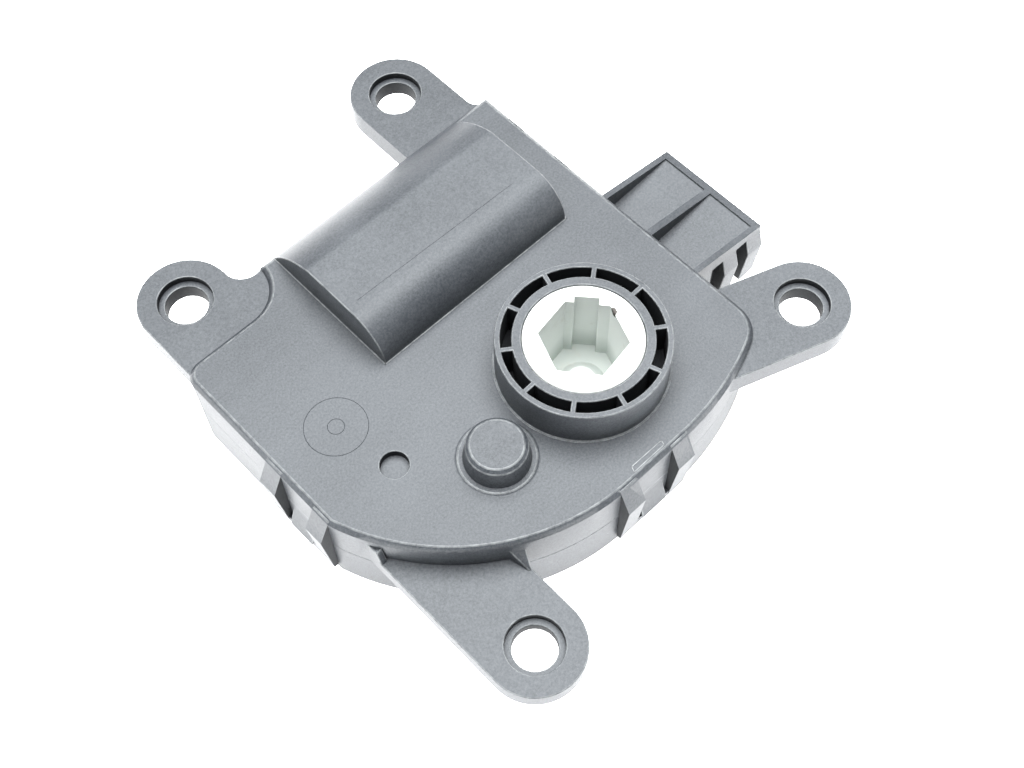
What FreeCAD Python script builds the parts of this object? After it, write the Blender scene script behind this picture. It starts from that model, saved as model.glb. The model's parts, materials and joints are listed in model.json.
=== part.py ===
import FreeCAD, Part
import Sketcher
import math
import operator
import os
from types import SimpleNamespace

# Actuator that turns an air damper in a heating and air-conditioning case.
# Frame: origin on the output axis at the face of the top plate, +Z out of the output socket,
# +X along the motor axis towards the connector, sizes in millimetres.

doc = FreeCAD.newDocument("damper_actuator")
sheet = doc.addObject("Spreadsheet::Sheet", "Sizes")
layout = doc.addObject("App::VarSet", "Layout")
Vector, Rotation = FreeCAD.Vector, FreeCAD.Rotation

# Driving dimensions: alias, value, what it is
driving = [
    # housing
    ("wall", 1.5, "wall, plate and floor thickness"),
    ("edge_bevel", 0.6, "bevel of the plate's upper edge"),
    ("parting_depth", 6.5, "parting line below the plate"),
    ("case_left", 35.1, "output axis to the left wall"),
    ("case_right", 19.3, "output axis to the right wall"),
    ("arc_inset", 28.03, "left wall to the centre of the large front arc"),
    ("front_arc_y", 14.5, "centre of the large front arc"),
    ("right_arc_x", 1.7, "where the front wall starts to curve to the right"),
    ("right_arc_radius", 37.4, "gentle curve of the front wall on the right"),
    ("right_corner", 4.7, "corner between front and right wall"),
    ("step_x", -24.3, "hollow corner beside the left back ear"),
    ("step_depth", 5.3, "hollow corner behind the back wall"),
    ("back_left_round", 2.4, "corner of the left wall behind the step"),
    ("fit_gap", 0.06, "running clearance of shafts and journals"),
    ("seat_gap", 0.2, "clearance between parts that are dropped in"),
    ("weld", 0.1, "how far a post or rib reaches into what carries it"),
    ("side_gap", 0.6, "clearance beside the first wheel"),
    # motor, a flat-sided can
    ("can_radius", 8.7, "round flanks of the motor"),
    ("can_half_height", 7.3, "motor axis to its flat top"),
    ("can_length", 24.4, "motor can"),
    ("can_wall", 0.8, "sheet of the motor can"),
    ("cap_length", 2.6, "plastic end cap of the motor"),
    ("boss_radius", 3.1, "bearing boss of the can"),
    ("boss_length", 1.6, "bearing boss of the can"),
    ("shaft_radius", 1.0, "motor shaft"),
    ("magnet_thickness", 2.2, "magnets inside the can"),
    ("magnet_gap", 2.0, "magnets behind the can's front"),
    ("magnet_excess", 2.0, "magnets longer than the core"),
    ("magnet_trim", 1.9, "magnets inside the can's flats"),
    ("rotor_radius", 5.3, "laminated rotor core"),
    ("rotor_length", 12.0, "laminated rotor core"),
    ("tooth_neck", 2.0, "rotor pole necks"),
    ("shoe_sheet", 0.9, "rotor pole shoes"),
    ("shoe_gap", 1.6, "between two pole shoes"),
    ("core_sleeve", 1.2, "core round the shaft"),
    ("neck_inset", 0.6, "pole necks inside the shoes"),
    ("coil_floor", 1.6, "coils outside the shaft"),
    ("coil_top", 1.1, "coils inside the shoes"),
    ("coil_side", 1.3, "coils beside the necks"),
    ("coil_overhang", 1.2, "windings beyond the core"),
    ("commutator_radius", 2.4, "commutator"),
    ("commutator_length", 2.8, "commutator"),
    ("commutator_gap", 0.4, "commutator behind the coils"),
    ("brush_inset", 0.7, "brushes behind the commutator's front"),
    ("brush_height", 1.2, "brushes outside the commutator's face"),
    ("brush_half", 1.0, "half width of the brushes"),
    ("terminal_spread", 5.0, "motor terminals either side of the axis"),
    ("pad_thickness", 0.95, "damping pad under the motor"),
    ("pad_inset", 5.0, "damping pad from the can's ends"),
    ("seat_half", 4.0, "half width of the motor's seats and pad"),
    ("seat_rib", 1.5, "ribs that the motor lies on"),
    ("front_seat", 1.5, "front rib behind the can's front"),
    ("back_seat", 3.0, "back rib before the can's end"),
    ("cradle_gap", 0.5, "shaft cradle inside the left wall"),
    ("cradle_sheet", 1.6, "shaft cradle"),
    ("cradle_half", 2.5, "half width of the shaft cradle"),
    ("shaft_inset", 0.2, "shaft end inside the cradle"),
    ("shaft_tail", 1.6, "shaft end behind the can"),
    ("cap_bore", 1.8, "bearing bore in the end cap"),
    ("tab_length", 2.2, "motor terminals"),
    ("roof_wall", 1.3, "cover beside the motor"),
    ("flank_wall", 2.1, "back wall outside the motor"),
    # gears
    ("fine_module", 0.5, "worm and the two fine stages"),
    ("coarse_module", 0.8, "output stage"),
    ("pressure_angle", 25.0, "all teeth"),
    ("backlash", 0.08, "taken off each tooth at the pitch circle"),
    ("worm_pitch_radius", 2.1, "worm"),
    ("worm_length", 9.0, "room for the thread"),
    ("first_wheel_teeth", 32, "turned by the worm"),
    ("first_pinion_teeth", 14, "first compound gear"),
    ("second_wheel_teeth", 29, "second compound gear"),
    ("second_pinion_teeth", 14, "second compound gear"),
    ("third_wheel_teeth", 33, "third compound gear"),
    ("third_pinion_teeth", 10, "third compound gear"),
    ("output_teeth", 30, "output gear"),
    ("third_angle", 187.7, "direction of the third axis from the output axis"),
    ("first_y", 16.1, "first axis behind the output axis"),
    ("top_gap", 0.4, "wheels below the plate"),
    ("layer_gap", 0.4, "between layers of wheels"),
    ("worm_face", 4.0, "face width of the worm wheel"),
    ("middle_face", 2.2, "face width of the second wheel"),
    ("low_face", 2.4, "face width of the third wheel"),
    ("output_face", 3.4, "face width of the output wheel"),
    ("gear_hub", 1.7, "hubs of the compound gears"),
    ("hub_shoulder", 0.6, "wider hub and post"),
    ("hub_rise", 1.5, "hub of the second gear below the plate"),
    ("gear_overlap", 0.2, "wheels and pinions of one gear reach into each other"),
    ("first_post_gap", 0.5, "first gear above its post"),
    ("post_gap", 0.4, "second and third gear above their posts"),
    ("pin_radius", 0.8, "steel gear pins"),
    ("pin_depth", 0.8, "gear pins in the floor and the plate"),
    ("pin_end_gap", 0.2, "second pin below the plate"),
    ("pin_boss_height", 1.2, "boss of the second pin under the plate"),
    ("front_gap", 0.8, "output wheel to the front wall"),
    ("arc_gap", 0.5, "third wheel to the front arc"),
    # output hub and collar
    ("hub_radius", 7.16, "white output hub"),
    ("collar_height", 5.64, "collar above the plate"),
    ("collar_radius", 10.38, "outside of the collar"),
    ("groove_outer", 9.66, "ring groove in the collar"),
    ("groove_inner", 8.37, "ring groove in the collar"),
    ("groove_depth", 4.9, "ring groove in the collar"),
    ("rib_width", 0.6, "ribs across the groove"),
    ("rib_count", 10, "ribs across the groove"),
    ("rib_start", 1.5, "angle of the first rib"),
    ("socket_flats", 9.2, "hexagonal socket across flats"),
    ("socket_depth", 11.0, "socket below the hub's face"),
    ("socket_turn", 9.0, "angle of a corner of the hexagon"),
    ("boss_foot", 3.1, "low boss on the socket's floor"),
    ("boss_face", 1.7, "low boss on the socket's floor"),
    ("boss_rise", 1.3, "low boss on the socket's floor"),
    ("key_angle", 41.0, "direction of the keyways"),
    ("key_reach", 5.5, "wide keyway from the axis"),
    ("key_width", 2.9, "wide keyway"),
    ("small_key_reach", 5.25, "narrow keyway from the axis"),
    ("small_key_width", 2.15, "narrow keyway"),
    ("journal_radius", 5.9, "lower journal of the output gear"),
    ("journal_bore", 4.2, "bore of the lower journal"),
    ("bore_depth", 1.1, "bore of the lower journal, up into the wheel"),
    ("journal_post_gap", 1.4, "top of the journal's post below the wheel"),
    ("hub_flange", 1.6, "flange of the hub on the wheel"),
    ("travel", 60.0, "output travel each way"),
    ("stop_radius", 10.4, "outer end of the travel stops"),
    ("stop_inset", 1.0, "travel stops outside the hub"),
    ("stop_margin", 14.0, "stop ribs beyond the travel"),
    ("stop_clear", 0.3, "stop ribs above the output wheel"),
    ("stop_height", 0.6, "stop lug on the output wheel"),
    ("stop_width", 2.0, "stop lug and stop ribs"),
    # marks on the plate
    ("dome_radius", 4.0, "dome over the third axis"),
    ("dome_top", 3.65, "dome below its bevel"),
    ("dome_height", 3.5, "dome above the plate"),
    ("dome_bevel", 0.5, "upper edge of the dome"),
    ("dome_foot", 5.0, "raised foot round the dome"),
    ("dome_foot_height", 0.3, "raised foot round the dome"),
    ("dome_foot_slope", 0.4, "raised foot round the dome"),
    ("recess_radius", 1.7, "small recess over the second axis"),
    ("recess_depth", 1.1, "small recess over the second axis"),
    ("foot_start", 5.3, "radius of the cover's front shoulder"),
    ("crest_width", 8.0, "flat crest of the motor cover"),
    ("crest_fall", 13.0, "radius of the cover's back shoulder"),
    ("crest_lift", 0.25, "crest above the cover's wall"),
    # ears
    ("ear_radius", 6.0, "end of an ear"),
    ("ear_bore", 2.65, "hole for a 5 mm tapping screw"),
    ("ear_sink", 3.42, "shallow counterbore"),
    ("sink_depth", 1.0, "shallow counterbore"),
    ("ear_thickness", 3.3, "ears on the plate's level"),
    ("back_ear_x", 11.55, "hole of the back ear"),
    ("back_ear_y", 46.55, "hole of the back ear"),
    ("back_ear_drop", 1.0, "top of the back ear below the plate"),
    ("left_ear_x", -28.44, "hole of the left ear"),
    ("left_ear_y", 39.96, "hole of the left ear"),
    ("left_ear_drop", 0.7, "top of the left ear below the plate"),
    ("right_ear_x", 25.54, "hole of the right ear"),
    ("right_ear_y", -12.37, "hole of the right ear"),
    ("right_ear_drop", 1.0, "top of the right ear below the plate"),
    ("right_ear_lean", -19.6, "direction of the right ear"),
    ("front_ear_x", -27.26, "hole of the lower front ear"),
    ("front_ear_y", -20.08, "hole of the lower front ear"),
    ("front_ear_drop", 4.0, "top of the lower front ear below the plate"),
    ("back_ear_flare", 1.7, "hollow beside the root of the back ear"),
    ("left_ear_flare", 2.7, "hollow beside the root of the left ear"),
    ("right_ear_root", 15.0, "length of the right ear into the case"),
    ("gusset_width", 0.9, "gusset on the left of the lower ear"),
    ("gusset_reach", 1.0, "gusset on the left of the lower ear"),
    ("gusset_top", 1.6, "gussets of the lower ear below the plate"),
    ("web_width", 2.2, "corner web on the right of the lower ear, at the wall"),
    ("web_reach", 2.1, "corner web on the right of the lower ear"),
    ("web_tip", 0.3, "corner web at its tip"),
    # connector
    ("shell_reach", 31.5, "output axis to the connector's mouth"),
    ("shell_front", -0.8, "front side of the connector shell"),
    ("shell_back", 15.6, "back side of the connector shell"),
    ("shell_top", -0.6, "top of the shell at the wall"),
    ("shell_fall", 2.0, "how much the top falls towards the mouth"),
    ("shell_bottom", -12.3, "underside of the shell"),
    ("shell_wall", 1.3, "walls round the mouth"),
    ("mouth_top", -5.0, "roof of the mouth"),
    ("mouth_back", 21.2, "back wall of the mouth"),
    ("pocket_depth", 2.9, "ramped pockets at their deep end"),
    ("pocket_rib", 0.95, "rib between the pockets"),
    ("pocket_shift", 0.1, "rib between the pockets behind their middle"),
    ("pocket_strip", 0.8, "strip beside the pockets"),
    ("lip_width", 1.15, "lip in front of the pockets"),
    ("pocket_step", 0.25, "ramped pockets at their shallow end"),
    ("key_slot", 1.9, "upright grooves in the shell's front side"),
    ("key_slot_depth", 1.1, "upright grooves in the shell's front side"),
    ("inner_slot", 3.2, "from the wall to the first groove"),
    ("slot_spacing", 4.4, "from the first groove to the second"),
    ("slot_roof", 0.8, "shell above the grooves"),
    ("rib_proud", 0.75, "wedge ribs beside the grooves"),
    ("rib_ridge", 5.9, "ridge of the wedge ribs below the plate"),
    ("rib_foot", 0.2, "wedge ribs at the underside"),
    ("terminal_count", 7, "connector pins"),
    ("terminal_pitch", 1.8, "connector pins"),
    ("terminal_size", 0.6, "connector pins"),
    ("terminal_free", 5.5, "connector pins inside the mouth"),
    ("terminal_tail", 2.5, "connector pins on the circuit board"),
    # latches
    ("leg_width", 2.7, "legs of the latch loops"),
    ("leg_spacing", 8.3, "between the middles of two legs"),
    ("leg_top", 0.2, "top of the legs below the plate"),
    ("leg_inset", 0.2, "top of the legs' faces inside the wall's face"),
    ("leg_proud", 1.5, "ridge of the legs outside the wall"),
    ("leg_ridge", 3.7, "ridge of the legs below the plate"),
    ("leg_reach", 12.2, "loops reach down to"),
    ("loop_sheet", 0.7, "loops at their lower end outside the wall"),
    ("loop_bar", 1.2, "bar across the end of a loop"),
    ("hook_width", 4.0, "latch hook between the legs"),
    ("hook_height", 3.3, "latch hook"),
    ("hook_proud", 1.1, "latch hook outside the wall"),
    ("hook_gap", 0.1, "hook above the bar"),
    ("left_latch_y", 10.7, "middle of the latch on the left wall"),
    ("front_latch_x", -3.3, "middle of the latch on the front wall"),
    ("right_latch_y", 27.0, "middle of the latch on the right wall"),
    # position sensor
    ("board_left", -5.0, "edge of the circuit board"),
    ("board_gap", 0.6, "circuit board inside the right wall"),
    ("board_front", -10.5, "edge of the circuit board"),
    ("board_back", 14.5, "edge of the circuit board"),
    ("board_corner", 3.2, "corner cut off the circuit board"),
    ("board_top", -8.4, "top of the circuit board"),
    ("board_thickness", 1.2, "circuit board"),
    ("board_hole", 6.6, "hole round the output journal"),
    ("peg_half", 1.4, "half width of the posts under the circuit board"),
    ("peg_inset", 2.4, "middles of the posts from the board's edges"),
    ("corner_peg_inset", 3.4, "post at the cut corner"),
    ("left_peg_inset", 2.2, "posts at the board's left edge"),
    ("front_peg_inset", 1.8, "left front post"),
    ("track_thickness", 0.05, "printed film with the resistive tracks"),
    ("track_width", 1.0, "resistive tracks"),
    ("inner_track", 8.2, "inside of the inner track"),
    ("outer_track", 10.0, "inside of the outer track"),
    ("track_sweep", 75.0, "tracks each way from the middle"),
    ("wiper_sheet", 0.25, "spring sheet of the wiper"),
    ("wiper_length", 5.2, "wiper fingers"),
    ("wiper_clear", 0.03, "wiper fingers above the tracks"),
    ("wiper_foot", 1.0, "half width of the wiper's strip"),
    ("wiper_tip", 0.8, "turned-up tips of the fingers"),
    ("wiper_tip_rise", 0.5, "turned-up tips of the fingers"),
    ("finger_inset", 0.15, "fingers inside the tracks' edges"),
    ("lead_sheet", 0.4, "leads from the board to the motor"),
    ("lead_width", 1.2, "leads from the board to the motor"),
    ("lead_start", 1.5, "leads start before the board's back edge"),
    ("lead_gap", 0.5, "first lead behind the motor"),
    ("lead_step", 0.8, "from the first lead to the second"),
    ("lead_foot", 1.0, "height of the leads' feet"),
]


class Size:
    """A number with the sheet formula that it comes from, so that it can drive a shape."""

    def __init__(self, value, formula=None):
        self.value = float(value)
        self.formula = formula or f"({self.value})"

    def __add__(self, other):
        return joined(self, "+", other)

    def __radd__(self, other):
        return joined(other, "+", self)

    def __sub__(self, other):
        return joined(self, "-", other)

    def __rsub__(self, other):
        return joined(other, "-", self)

    def __mul__(self, other):
        return joined(self, "*", other)

    def __rmul__(self, other):
        return joined(other, "*", self)

    def __truediv__(self, other):
        return joined(self, "/", other)

    def __neg__(self):
        return joined(0, "-", self)


signs = {"+": operator.add, "-": operator.sub, "*": operator.mul, "/": operator.truediv}


def as_size(number):
    return number if isinstance(number, Size) else Size(number)


def joined(left, sign, right):
    left, right = as_size(left), as_size(right)
    value = signs[sign](left.value, right.value)
    return Size(value, f"({left.formula} {sign} {right.formula})")


def root(size):
    return Size(math.sqrt(size.value), f"sqrt({size.formula})")


def sine(angle):
    angle = as_size(angle)
    return Size(math.sin(math.radians(angle.value)), f"sin({angle.formula} * 1 deg)")


def cosine(angle):
    angle = as_size(angle)
    return Size(math.cos(math.radians(angle.value)), f"cos({angle.formula} * 1 deg)")


def bind(item, place, size):
    item.setExpression(place, as_size(size).formula)


def derived(name, size):
    """Keeps a worked-out size under a name of its own."""
    layout.addProperty("App::PropertyFloat", name)
    bind(layout, name, size)
    return Size(size.value, f"Layout.{name}")


for line, (alias, value, note) in enumerate(driving, start=1):
    sheet.set(f"A{line}", note)
    sheet.set(f"B{line}", str(value))
    sheet.setAlias(f"B{line}", alias)
doc.recompute()
s = SimpleNamespace(**{alias: Size(value, f"Sizes.{alias}") for alias, value, note in driving})

pieces = {}


def piece(name, item):
    item.Label = name
    pieces[name] = item
    return item


# Sketches stand in one of three planes: how the sketch is turned and the axis it is moved along
planes = {
    "XY": (Rotation(), "z"),
    "YZ": (Rotation(Vector(1, 1, 1), 120), "x"),
    "XZ": (Rotation(Vector(1, 0, 0), 90), "y"),
}


def outline(name, corners, plane, level):
    """A closed sketch. A corner is (x, y), or (x, y, radius) where an arc leads to the next
    corner: a positive radius bulges outwards, a negative one inwards."""
    sketch = doc.addObject("Sketcher::SketchObject", name)
    turn, axis = planes[plane]
    sketch.Placement = FreeCAD.Placement(Vector(), turn)
    bind(sketch, f"Placement.Base.{axis}", level)
    places = [Vector(as_size(c[0]).value, as_size(c[1]).value, 0) for c in corners]
    starts = []
    for number, corner in enumerate(corners):
        start, end = places[number], places[(number + 1) % len(corners)]
        if len(corner) == 2:
            sketch.addGeometry(Part.LineSegment(start, end))
            starts.append((1, 2))
            continue
        radius = as_size(corner[2]).value
        chord = end - start
        outward = Vector(chord.y, -chord.x, 0).normalize() * math.copysign(1, radius)
        rise = abs(radius) - math.sqrt(max(radius**2 - (chord.Length / 2) ** 2, 0))
        middle = (start + end) * 0.5 + outward * rise
        sketch.addGeometry(Part.Arc(start, middle, end))
        starts.append((1, 2) if radius > 0 else (2, 1))
    for number, corner in enumerate(corners):
        following = (number + 1) % len(corners)
        first, last = starts[number]
        add_constraint(sketch, "Coincident", number, last, following, starts[following][0])
        for kind, place in (("DistanceX", corner[0]), ("DistanceY", corner[1])):
            line = add_constraint(sketch, kind, -1, 1, number, first, as_size(place).value)
            bind(sketch, f"Constraints[{line}]", place)
        if len(corner) == 3:
            size = corner[2] if as_size(corner[2]).value > 0 else -corner[2]
            line = add_constraint(sketch, "Radius", number, as_size(size).value)
            bind(sketch, f"Constraints[{line}]", size)
    return sketch


def add_constraint(sketch, *facts):
    return sketch.addConstraint(Sketcher.Constraint(*facts))


def prism(name, corners, low, high, plane="XY"):
    """A closed outline extruded from low to high along the normal of its plane."""
    low, high = as_size(low), as_size(high)
    solid = doc.addObject("Part::Extrusion", name)
    solid.Base = outline(f"{name}_outline", corners, plane, high if plane == "XZ" else low)
    solid.DirMode = "Normal"
    solid.Solid = True
    bind(solid, "LengthFwd", high - low)
    return solid


def turned_profile(name, corners, x=0, y=0):
    """A profile of (radius, z) corners, turned round an upright axis."""
    solid = doc.addObject("Part::Revolution", name)
    sketch = outline(f"{name}_profile", corners, "XZ", y)
    bind(sketch, "Placement.Base.x", x)
    solid.Source = sketch
    solid.Axis = Vector(0, 0, 1)
    bind(solid, "Base.x", x)
    bind(solid, "Base.y", y)
    solid.Angle = 360
    solid.Solid = True
    return solid


def box(name, x, y, z):
    """A box between pairs of limits."""
    solid = doc.addObject("Part::Box", name)
    for side, axis, (low, high) in (("Length", "x", x), ("Width", "y", y), ("Height", "z", z)):
        bind(solid, side, as_size(high) - low)
        bind(solid, f"Placement.Base.{axis}", low)
    return solid


def spoke(name, angle, inner, outer, width, low, high):
    """A bar that points away from the output axis."""
    solid = doc.addObject("Part::Box", name)
    bind(solid, "Length", outer - inner)
    bind(solid, "Width", width)
    bind(solid, "Height", high - low)
    solid.Placement.Rotation = Rotation(Vector(0, 0, 1), as_size(angle).value)
    bind(solid, "Placement.Base.x", inner * cosine(angle) + width / 2 * sine(angle))
    bind(solid, "Placement.Base.y", inner * sine(angle) - width / 2 * cosine(angle))
    bind(solid, "Placement.Base.z", low)
    bind(solid, "Placement.Rotation.Angle", angle)
    return solid


def cylinder(name, radius, low, high, x=0, y=0):
    """An upright cylinder."""
    solid = doc.addObject("Part::Cylinder", name)
    bind(solid, "Radius", radius)
    bind(solid, "Height", as_size(high) - low)
    for axis, place in (("x", x), ("y", y), ("z", low)):
        bind(solid, f"Placement.Base.{axis}", place)
    return solid


def rod(name, radius, left, right):
    """A cylinder on the motor axis."""
    solid = doc.addObject("Part::Cylinder", name)
    bind(solid, "Radius", radius)
    bind(solid, "Height", as_size(right) - left)
    solid.Placement.Rotation = Rotation(Vector(0, 1, 0), 90)
    for axis, place in (("x", left), ("y", motor_y), ("z", motor_z)):
        bind(solid, f"Placement.Base.{axis}", place)
    return solid


def cone(name, low_radius, high_radius, low, high, x=0, y=0):
    solid = doc.addObject("Part::Cone", name)
    bind(solid, "Radius1", low_radius)
    bind(solid, "Radius2", high_radius)
    bind(solid, "Height", as_size(high) - low)
    for axis, place in (("x", x), ("y", y), ("z", low)):
        bind(solid, f"Placement.Base.{axis}", place)
    return solid


def fused(name, *parts):
    solid = doc.addObject("Part::MultiFuse", name)
    solid.Shapes = list(parts)
    return solid


def cut(name, base, *tools):
    solid = doc.addObject("Part::Cut", name)
    solid.Base = base
    solid.Tool = tools[0] if len(tools) == 1 else fused(f"{name}_tools", *tools)
    solid.Refine = True
    return solid


def common(name, one, other):
    solid = doc.addObject("Part::Common", name)
    solid.Base = one
    solid.Tool = other
    return solid


def group(name, *parts):
    """Separate solids that share one node."""
    solid = doc.addObject("Part::Compound", name)
    solid.Links = list(parts)
    return solid


# Layout of the gear train, worked out from the teeth
first_tip = (s.first_wheel_teeth / 2 + 1) * s.fine_module
first_x = derived("first_x", s.wall + s.side_gap + first_tip - s.case_left)
first_pitch = s.first_wheel_teeth * s.fine_module / 2
third_distance = (s.third_pinion_teeth + s.output_teeth) * s.coarse_module / 2
third_x = derived("third_x", third_distance * cosine(s.third_angle))
third_y = derived("third_y", third_distance * sine(s.third_angle))
near = derived("near", (s.first_pinion_teeth + s.second_wheel_teeth) * s.fine_module / 2)
far = derived("far", (s.second_pinion_teeth + s.third_wheel_teeth) * s.fine_module / 2)
span_x = derived("span_x", third_x - first_x)
span_y = derived("span_y", third_y - s.first_y)
span = derived("span", root(span_x * span_x + span_y * span_y))
along = derived("along", (near * near - far * far + span * span) / (2 * span))
aside = derived("aside", root(near * near - along * along))
second_x = derived("second_x", first_x + (along * span_x + aside * span_y) / span)
second_y = derived("second_y", s.first_y + (along * span_y - aside * span_x) / span)

# Layers below the plate
worm_wheel_top = -s.wall - s.top_gap
worm_wheel_low = derived("worm_wheel_low", worm_wheel_top - s.worm_face)
middle_top = derived("middle_top", worm_wheel_low - s.layer_gap)
middle_low = derived("middle_low", middle_top - s.middle_face)
low_top = derived("low_top", middle_low - s.layer_gap)
low_end = derived("low_end", low_top - s.low_face)
motor_z = derived("motor_z", worm_wheel_top - s.worm_face / 2)
motor_y = derived("motor_y", s.first_y + first_pitch + s.worm_pitch_radius)
floor_z = derived("floor_z", motor_z - s.can_half_height - s.pad_thickness)
bottom_z = derived("bottom_z", floor_z - s.wall)
output_low = derived("output_low", worm_wheel_low)
output_top = derived("output_top", output_low + s.output_face)

# Walls that follow the motor and the gears
worm_tip = derived("worm_tip", s.worm_pitch_radius + s.fine_module)
back_y = derived("back_y", motor_y + s.can_radius + s.seat_gap + s.flank_wall)
cover_front = derived("cover_front", motor_y - s.can_radius - s.seat_gap - s.roof_wall)
motor_front = derived("motor_front", first_x + first_tip + s.side_gap)
can_end = derived("can_end", motor_front + s.can_length)
motor_end = derived("motor_end", can_end + s.cap_length)
cover_left = derived("cover_left", motor_front - s.seat_gap - s.roof_wall)
cover_right = derived("cover_right", motor_end + s.seat_gap + s.roof_wall)
crest = derived("crest", motor_z + s.can_half_height + s.seat_gap + s.roof_wall
                + s.crest_lift)
output_pitch = s.output_teeth * s.coarse_module / 2
front_arc_x = derived("front_arc_x", s.arc_inset - s.case_left)
front_y = derived("front_y", s.coarse_module + output_pitch + s.front_gap + s.wall)
third_tip = (s.third_wheel_teeth / 2 + 1) * s.fine_module
arc_span = (third_x - front_arc_x) * (third_x - front_arc_x)
arc_rise = (third_y - s.front_arc_y) * (third_y - s.front_arc_y)
front_arc = derived("front_arc", root(arc_span + arc_rise) + third_tip + s.arc_gap + s.wall)
arc_y = derived("arc_y", front_arc - front_y)


def case_outline(inset):
    """Plan of the case, inset from its outer wall."""
    arc = front_arc - inset
    side = s.case_left - inset
    meet = side + front_arc_x
    right_arc_y = s.right_arc_radius - front_y
    corner_x = s.case_right - s.right_corner
    reach = s.right_arc_radius - s.right_corner
    lean = corner_x - s.right_arc_x
    drop = root(reach * reach - lean * lean)
    corner_y = right_arc_y - drop
    bend = s.right_arc_radius - inset
    hollow = s.step_depth + inset
    rounding = s.back_left_round - inset
    return [
        (front_arc_x, inset - front_y),
        (s.right_arc_x, inset - front_y, bend),
        (s.right_arc_x + bend * lean / reach, right_arc_y - bend * drop / reach,
         s.right_corner - inset),
        (s.case_right - inset, corner_y),
        (s.case_right - inset, back_y - inset),
        (s.step_x + root(hollow * hollow - inset * inset), back_y - inset, -hollow),
        (s.step_x, back_y - hollow),
        (rounding - side, back_y - hollow, rounding),
        (-side, back_y - hollow - rounding),
        (-side, arc_y - root(arc * arc - meet * meet), arc),
    ]


def upper_edges_bevelled(name, base, width, level):
    """Bevels the edges that lie in one upright level."""
    doc.recompute()
    solid = doc.addObject("Part::Chamfer", name)
    solid.Base = base
    solid.Edges = [
        (number, width.value, width.value)
        for number, edge in enumerate(base.Shape.Edges, start=1)
        if all(abs(v.Z - level.value) < 1e-6 for v in edge.Vertexes)
    ]
    return solid


# Upper housing
zero = Size(0.0)
parting = -s.parting_depth
block = prism("plate_block", case_outline(zero), parting, zero)
upper_outside = upper_edges_bevelled("bevelled_block", block, s.edge_bevel, zero)
upper_room = prism("upper_room", case_outline(s.wall), parting - 1, -s.wall)

cover = prism(
    "motor_cover",
    [
        (cover_front, -s.wall),
        (back_y, -s.wall),
        (back_y, -s.edge_bevel, s.crest_fall),
        (cover_front + s.foot_start + s.crest_width, crest),
        (cover_front + s.foot_start, crest, s.foot_start),
        (cover_front, crest - s.foot_start),
    ],
    cover_left,
    cover_right,
    "YZ",
)


def flat_can(name, grow, left, right):
    """The motor's flat-sided section, grown all round."""
    radius = s.can_radius + grow
    height = s.can_half_height + grow
    half = root(radius * radius - height * height)
    return prism(
        name,
        [
            (motor_y - half, motor_z - height),
            (motor_y + half, motor_z - height, radius),
            (motor_y + half, motor_z + height),
            (motor_y - half, motor_z + height, radius),
        ],
        left,
        right,
        "YZ",
    )


motor_room = flat_can("motor_room", s.seat_gap, motor_front - s.seat_gap, motor_end + s.seat_gap)
worm_room = rod("worm_room", s.boss_radius + s.seat_gap, s.wall - s.case_left, motor_front)

# Collar: a double ring with ribs across its groove
collar = cylinder("collar", s.collar_radius, -s.wall, s.collar_height)
groove_low = s.collar_height - s.groove_depth
groove_ring = cut(
    "groove_ring",
    cylinder("groove_outside", s.groove_outer, groove_low, s.collar_height + 1),
    cylinder("groove_inside", s.groove_inner, groove_low - 1, s.collar_height + 2),
)
ribs = [
    spoke(f"collar_rib_{number}", s.rib_start + 360 / s.rib_count.value * number,
          s.groove_inner - 0.2, s.groove_outer + 0.2, s.rib_width,
          groove_low - 1, s.collar_height + 2)
    for number in range(int(s.rib_count.value))
]
collar_groove = cut("collar_groove", groove_ring, *ribs)
hub_bore = cylinder("hub_bore", s.hub_radius + s.fit_gap, -s.wall - 1, s.collar_height + 1)

dome = turned_profile(
    "dome",
    [
        (zero, -s.wall),
        (s.dome_foot, -s.wall),
        (s.dome_foot, zero),
        (s.dome_foot - s.dome_foot_slope, s.dome_foot_height),
        (s.dome_radius, s.dome_foot_height),
        (s.dome_top, s.dome_height - s.dome_bevel),
        (s.dome_top - s.dome_bevel, s.dome_height),
        (zero, s.dome_height),
    ],
    third_x,
    third_y,
)


# Ears: name, middle of the hole, top face, thickness
def ear(name, x, y, top, thickness, root_corners):
    """A round-ended ear whose root runs into the case."""
    low = top - thickness
    return fused(
        name,
        cylinder(f"{name}_end", s.ear_radius, low, top, x, y),
        prism(f"{name}_root", root_corners, low, top),
    )


def ear_hole(name, x, y, top, thickness):
    return fused(
        name,
        cylinder(f"{name}_bore", s.ear_bore, top - thickness - 1, top + 1, x, y),
        cylinder(f"{name}_sink", s.ear_sink, top - s.sink_depth, top + 1, x, y),
    )


back_ear = (s.back_ear_x, s.back_ear_y, -s.back_ear_drop, s.ear_thickness)
left_ear = (s.left_ear_x, s.left_ear_y, -s.left_ear_drop, s.ear_thickness)
right_ear = (s.right_ear_x, s.right_ear_y, -s.right_ear_drop, s.ear_thickness)
front_ear = (s.front_ear_x, s.front_ear_y, -s.front_ear_drop, s.parting_depth - s.front_ear_drop)


def arc_wall(x):
    """Outer face of the front arc at x."""
    return arc_y - root(front_arc * front_arc - (x - front_arc_x) * (x - front_arc_x))


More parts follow.
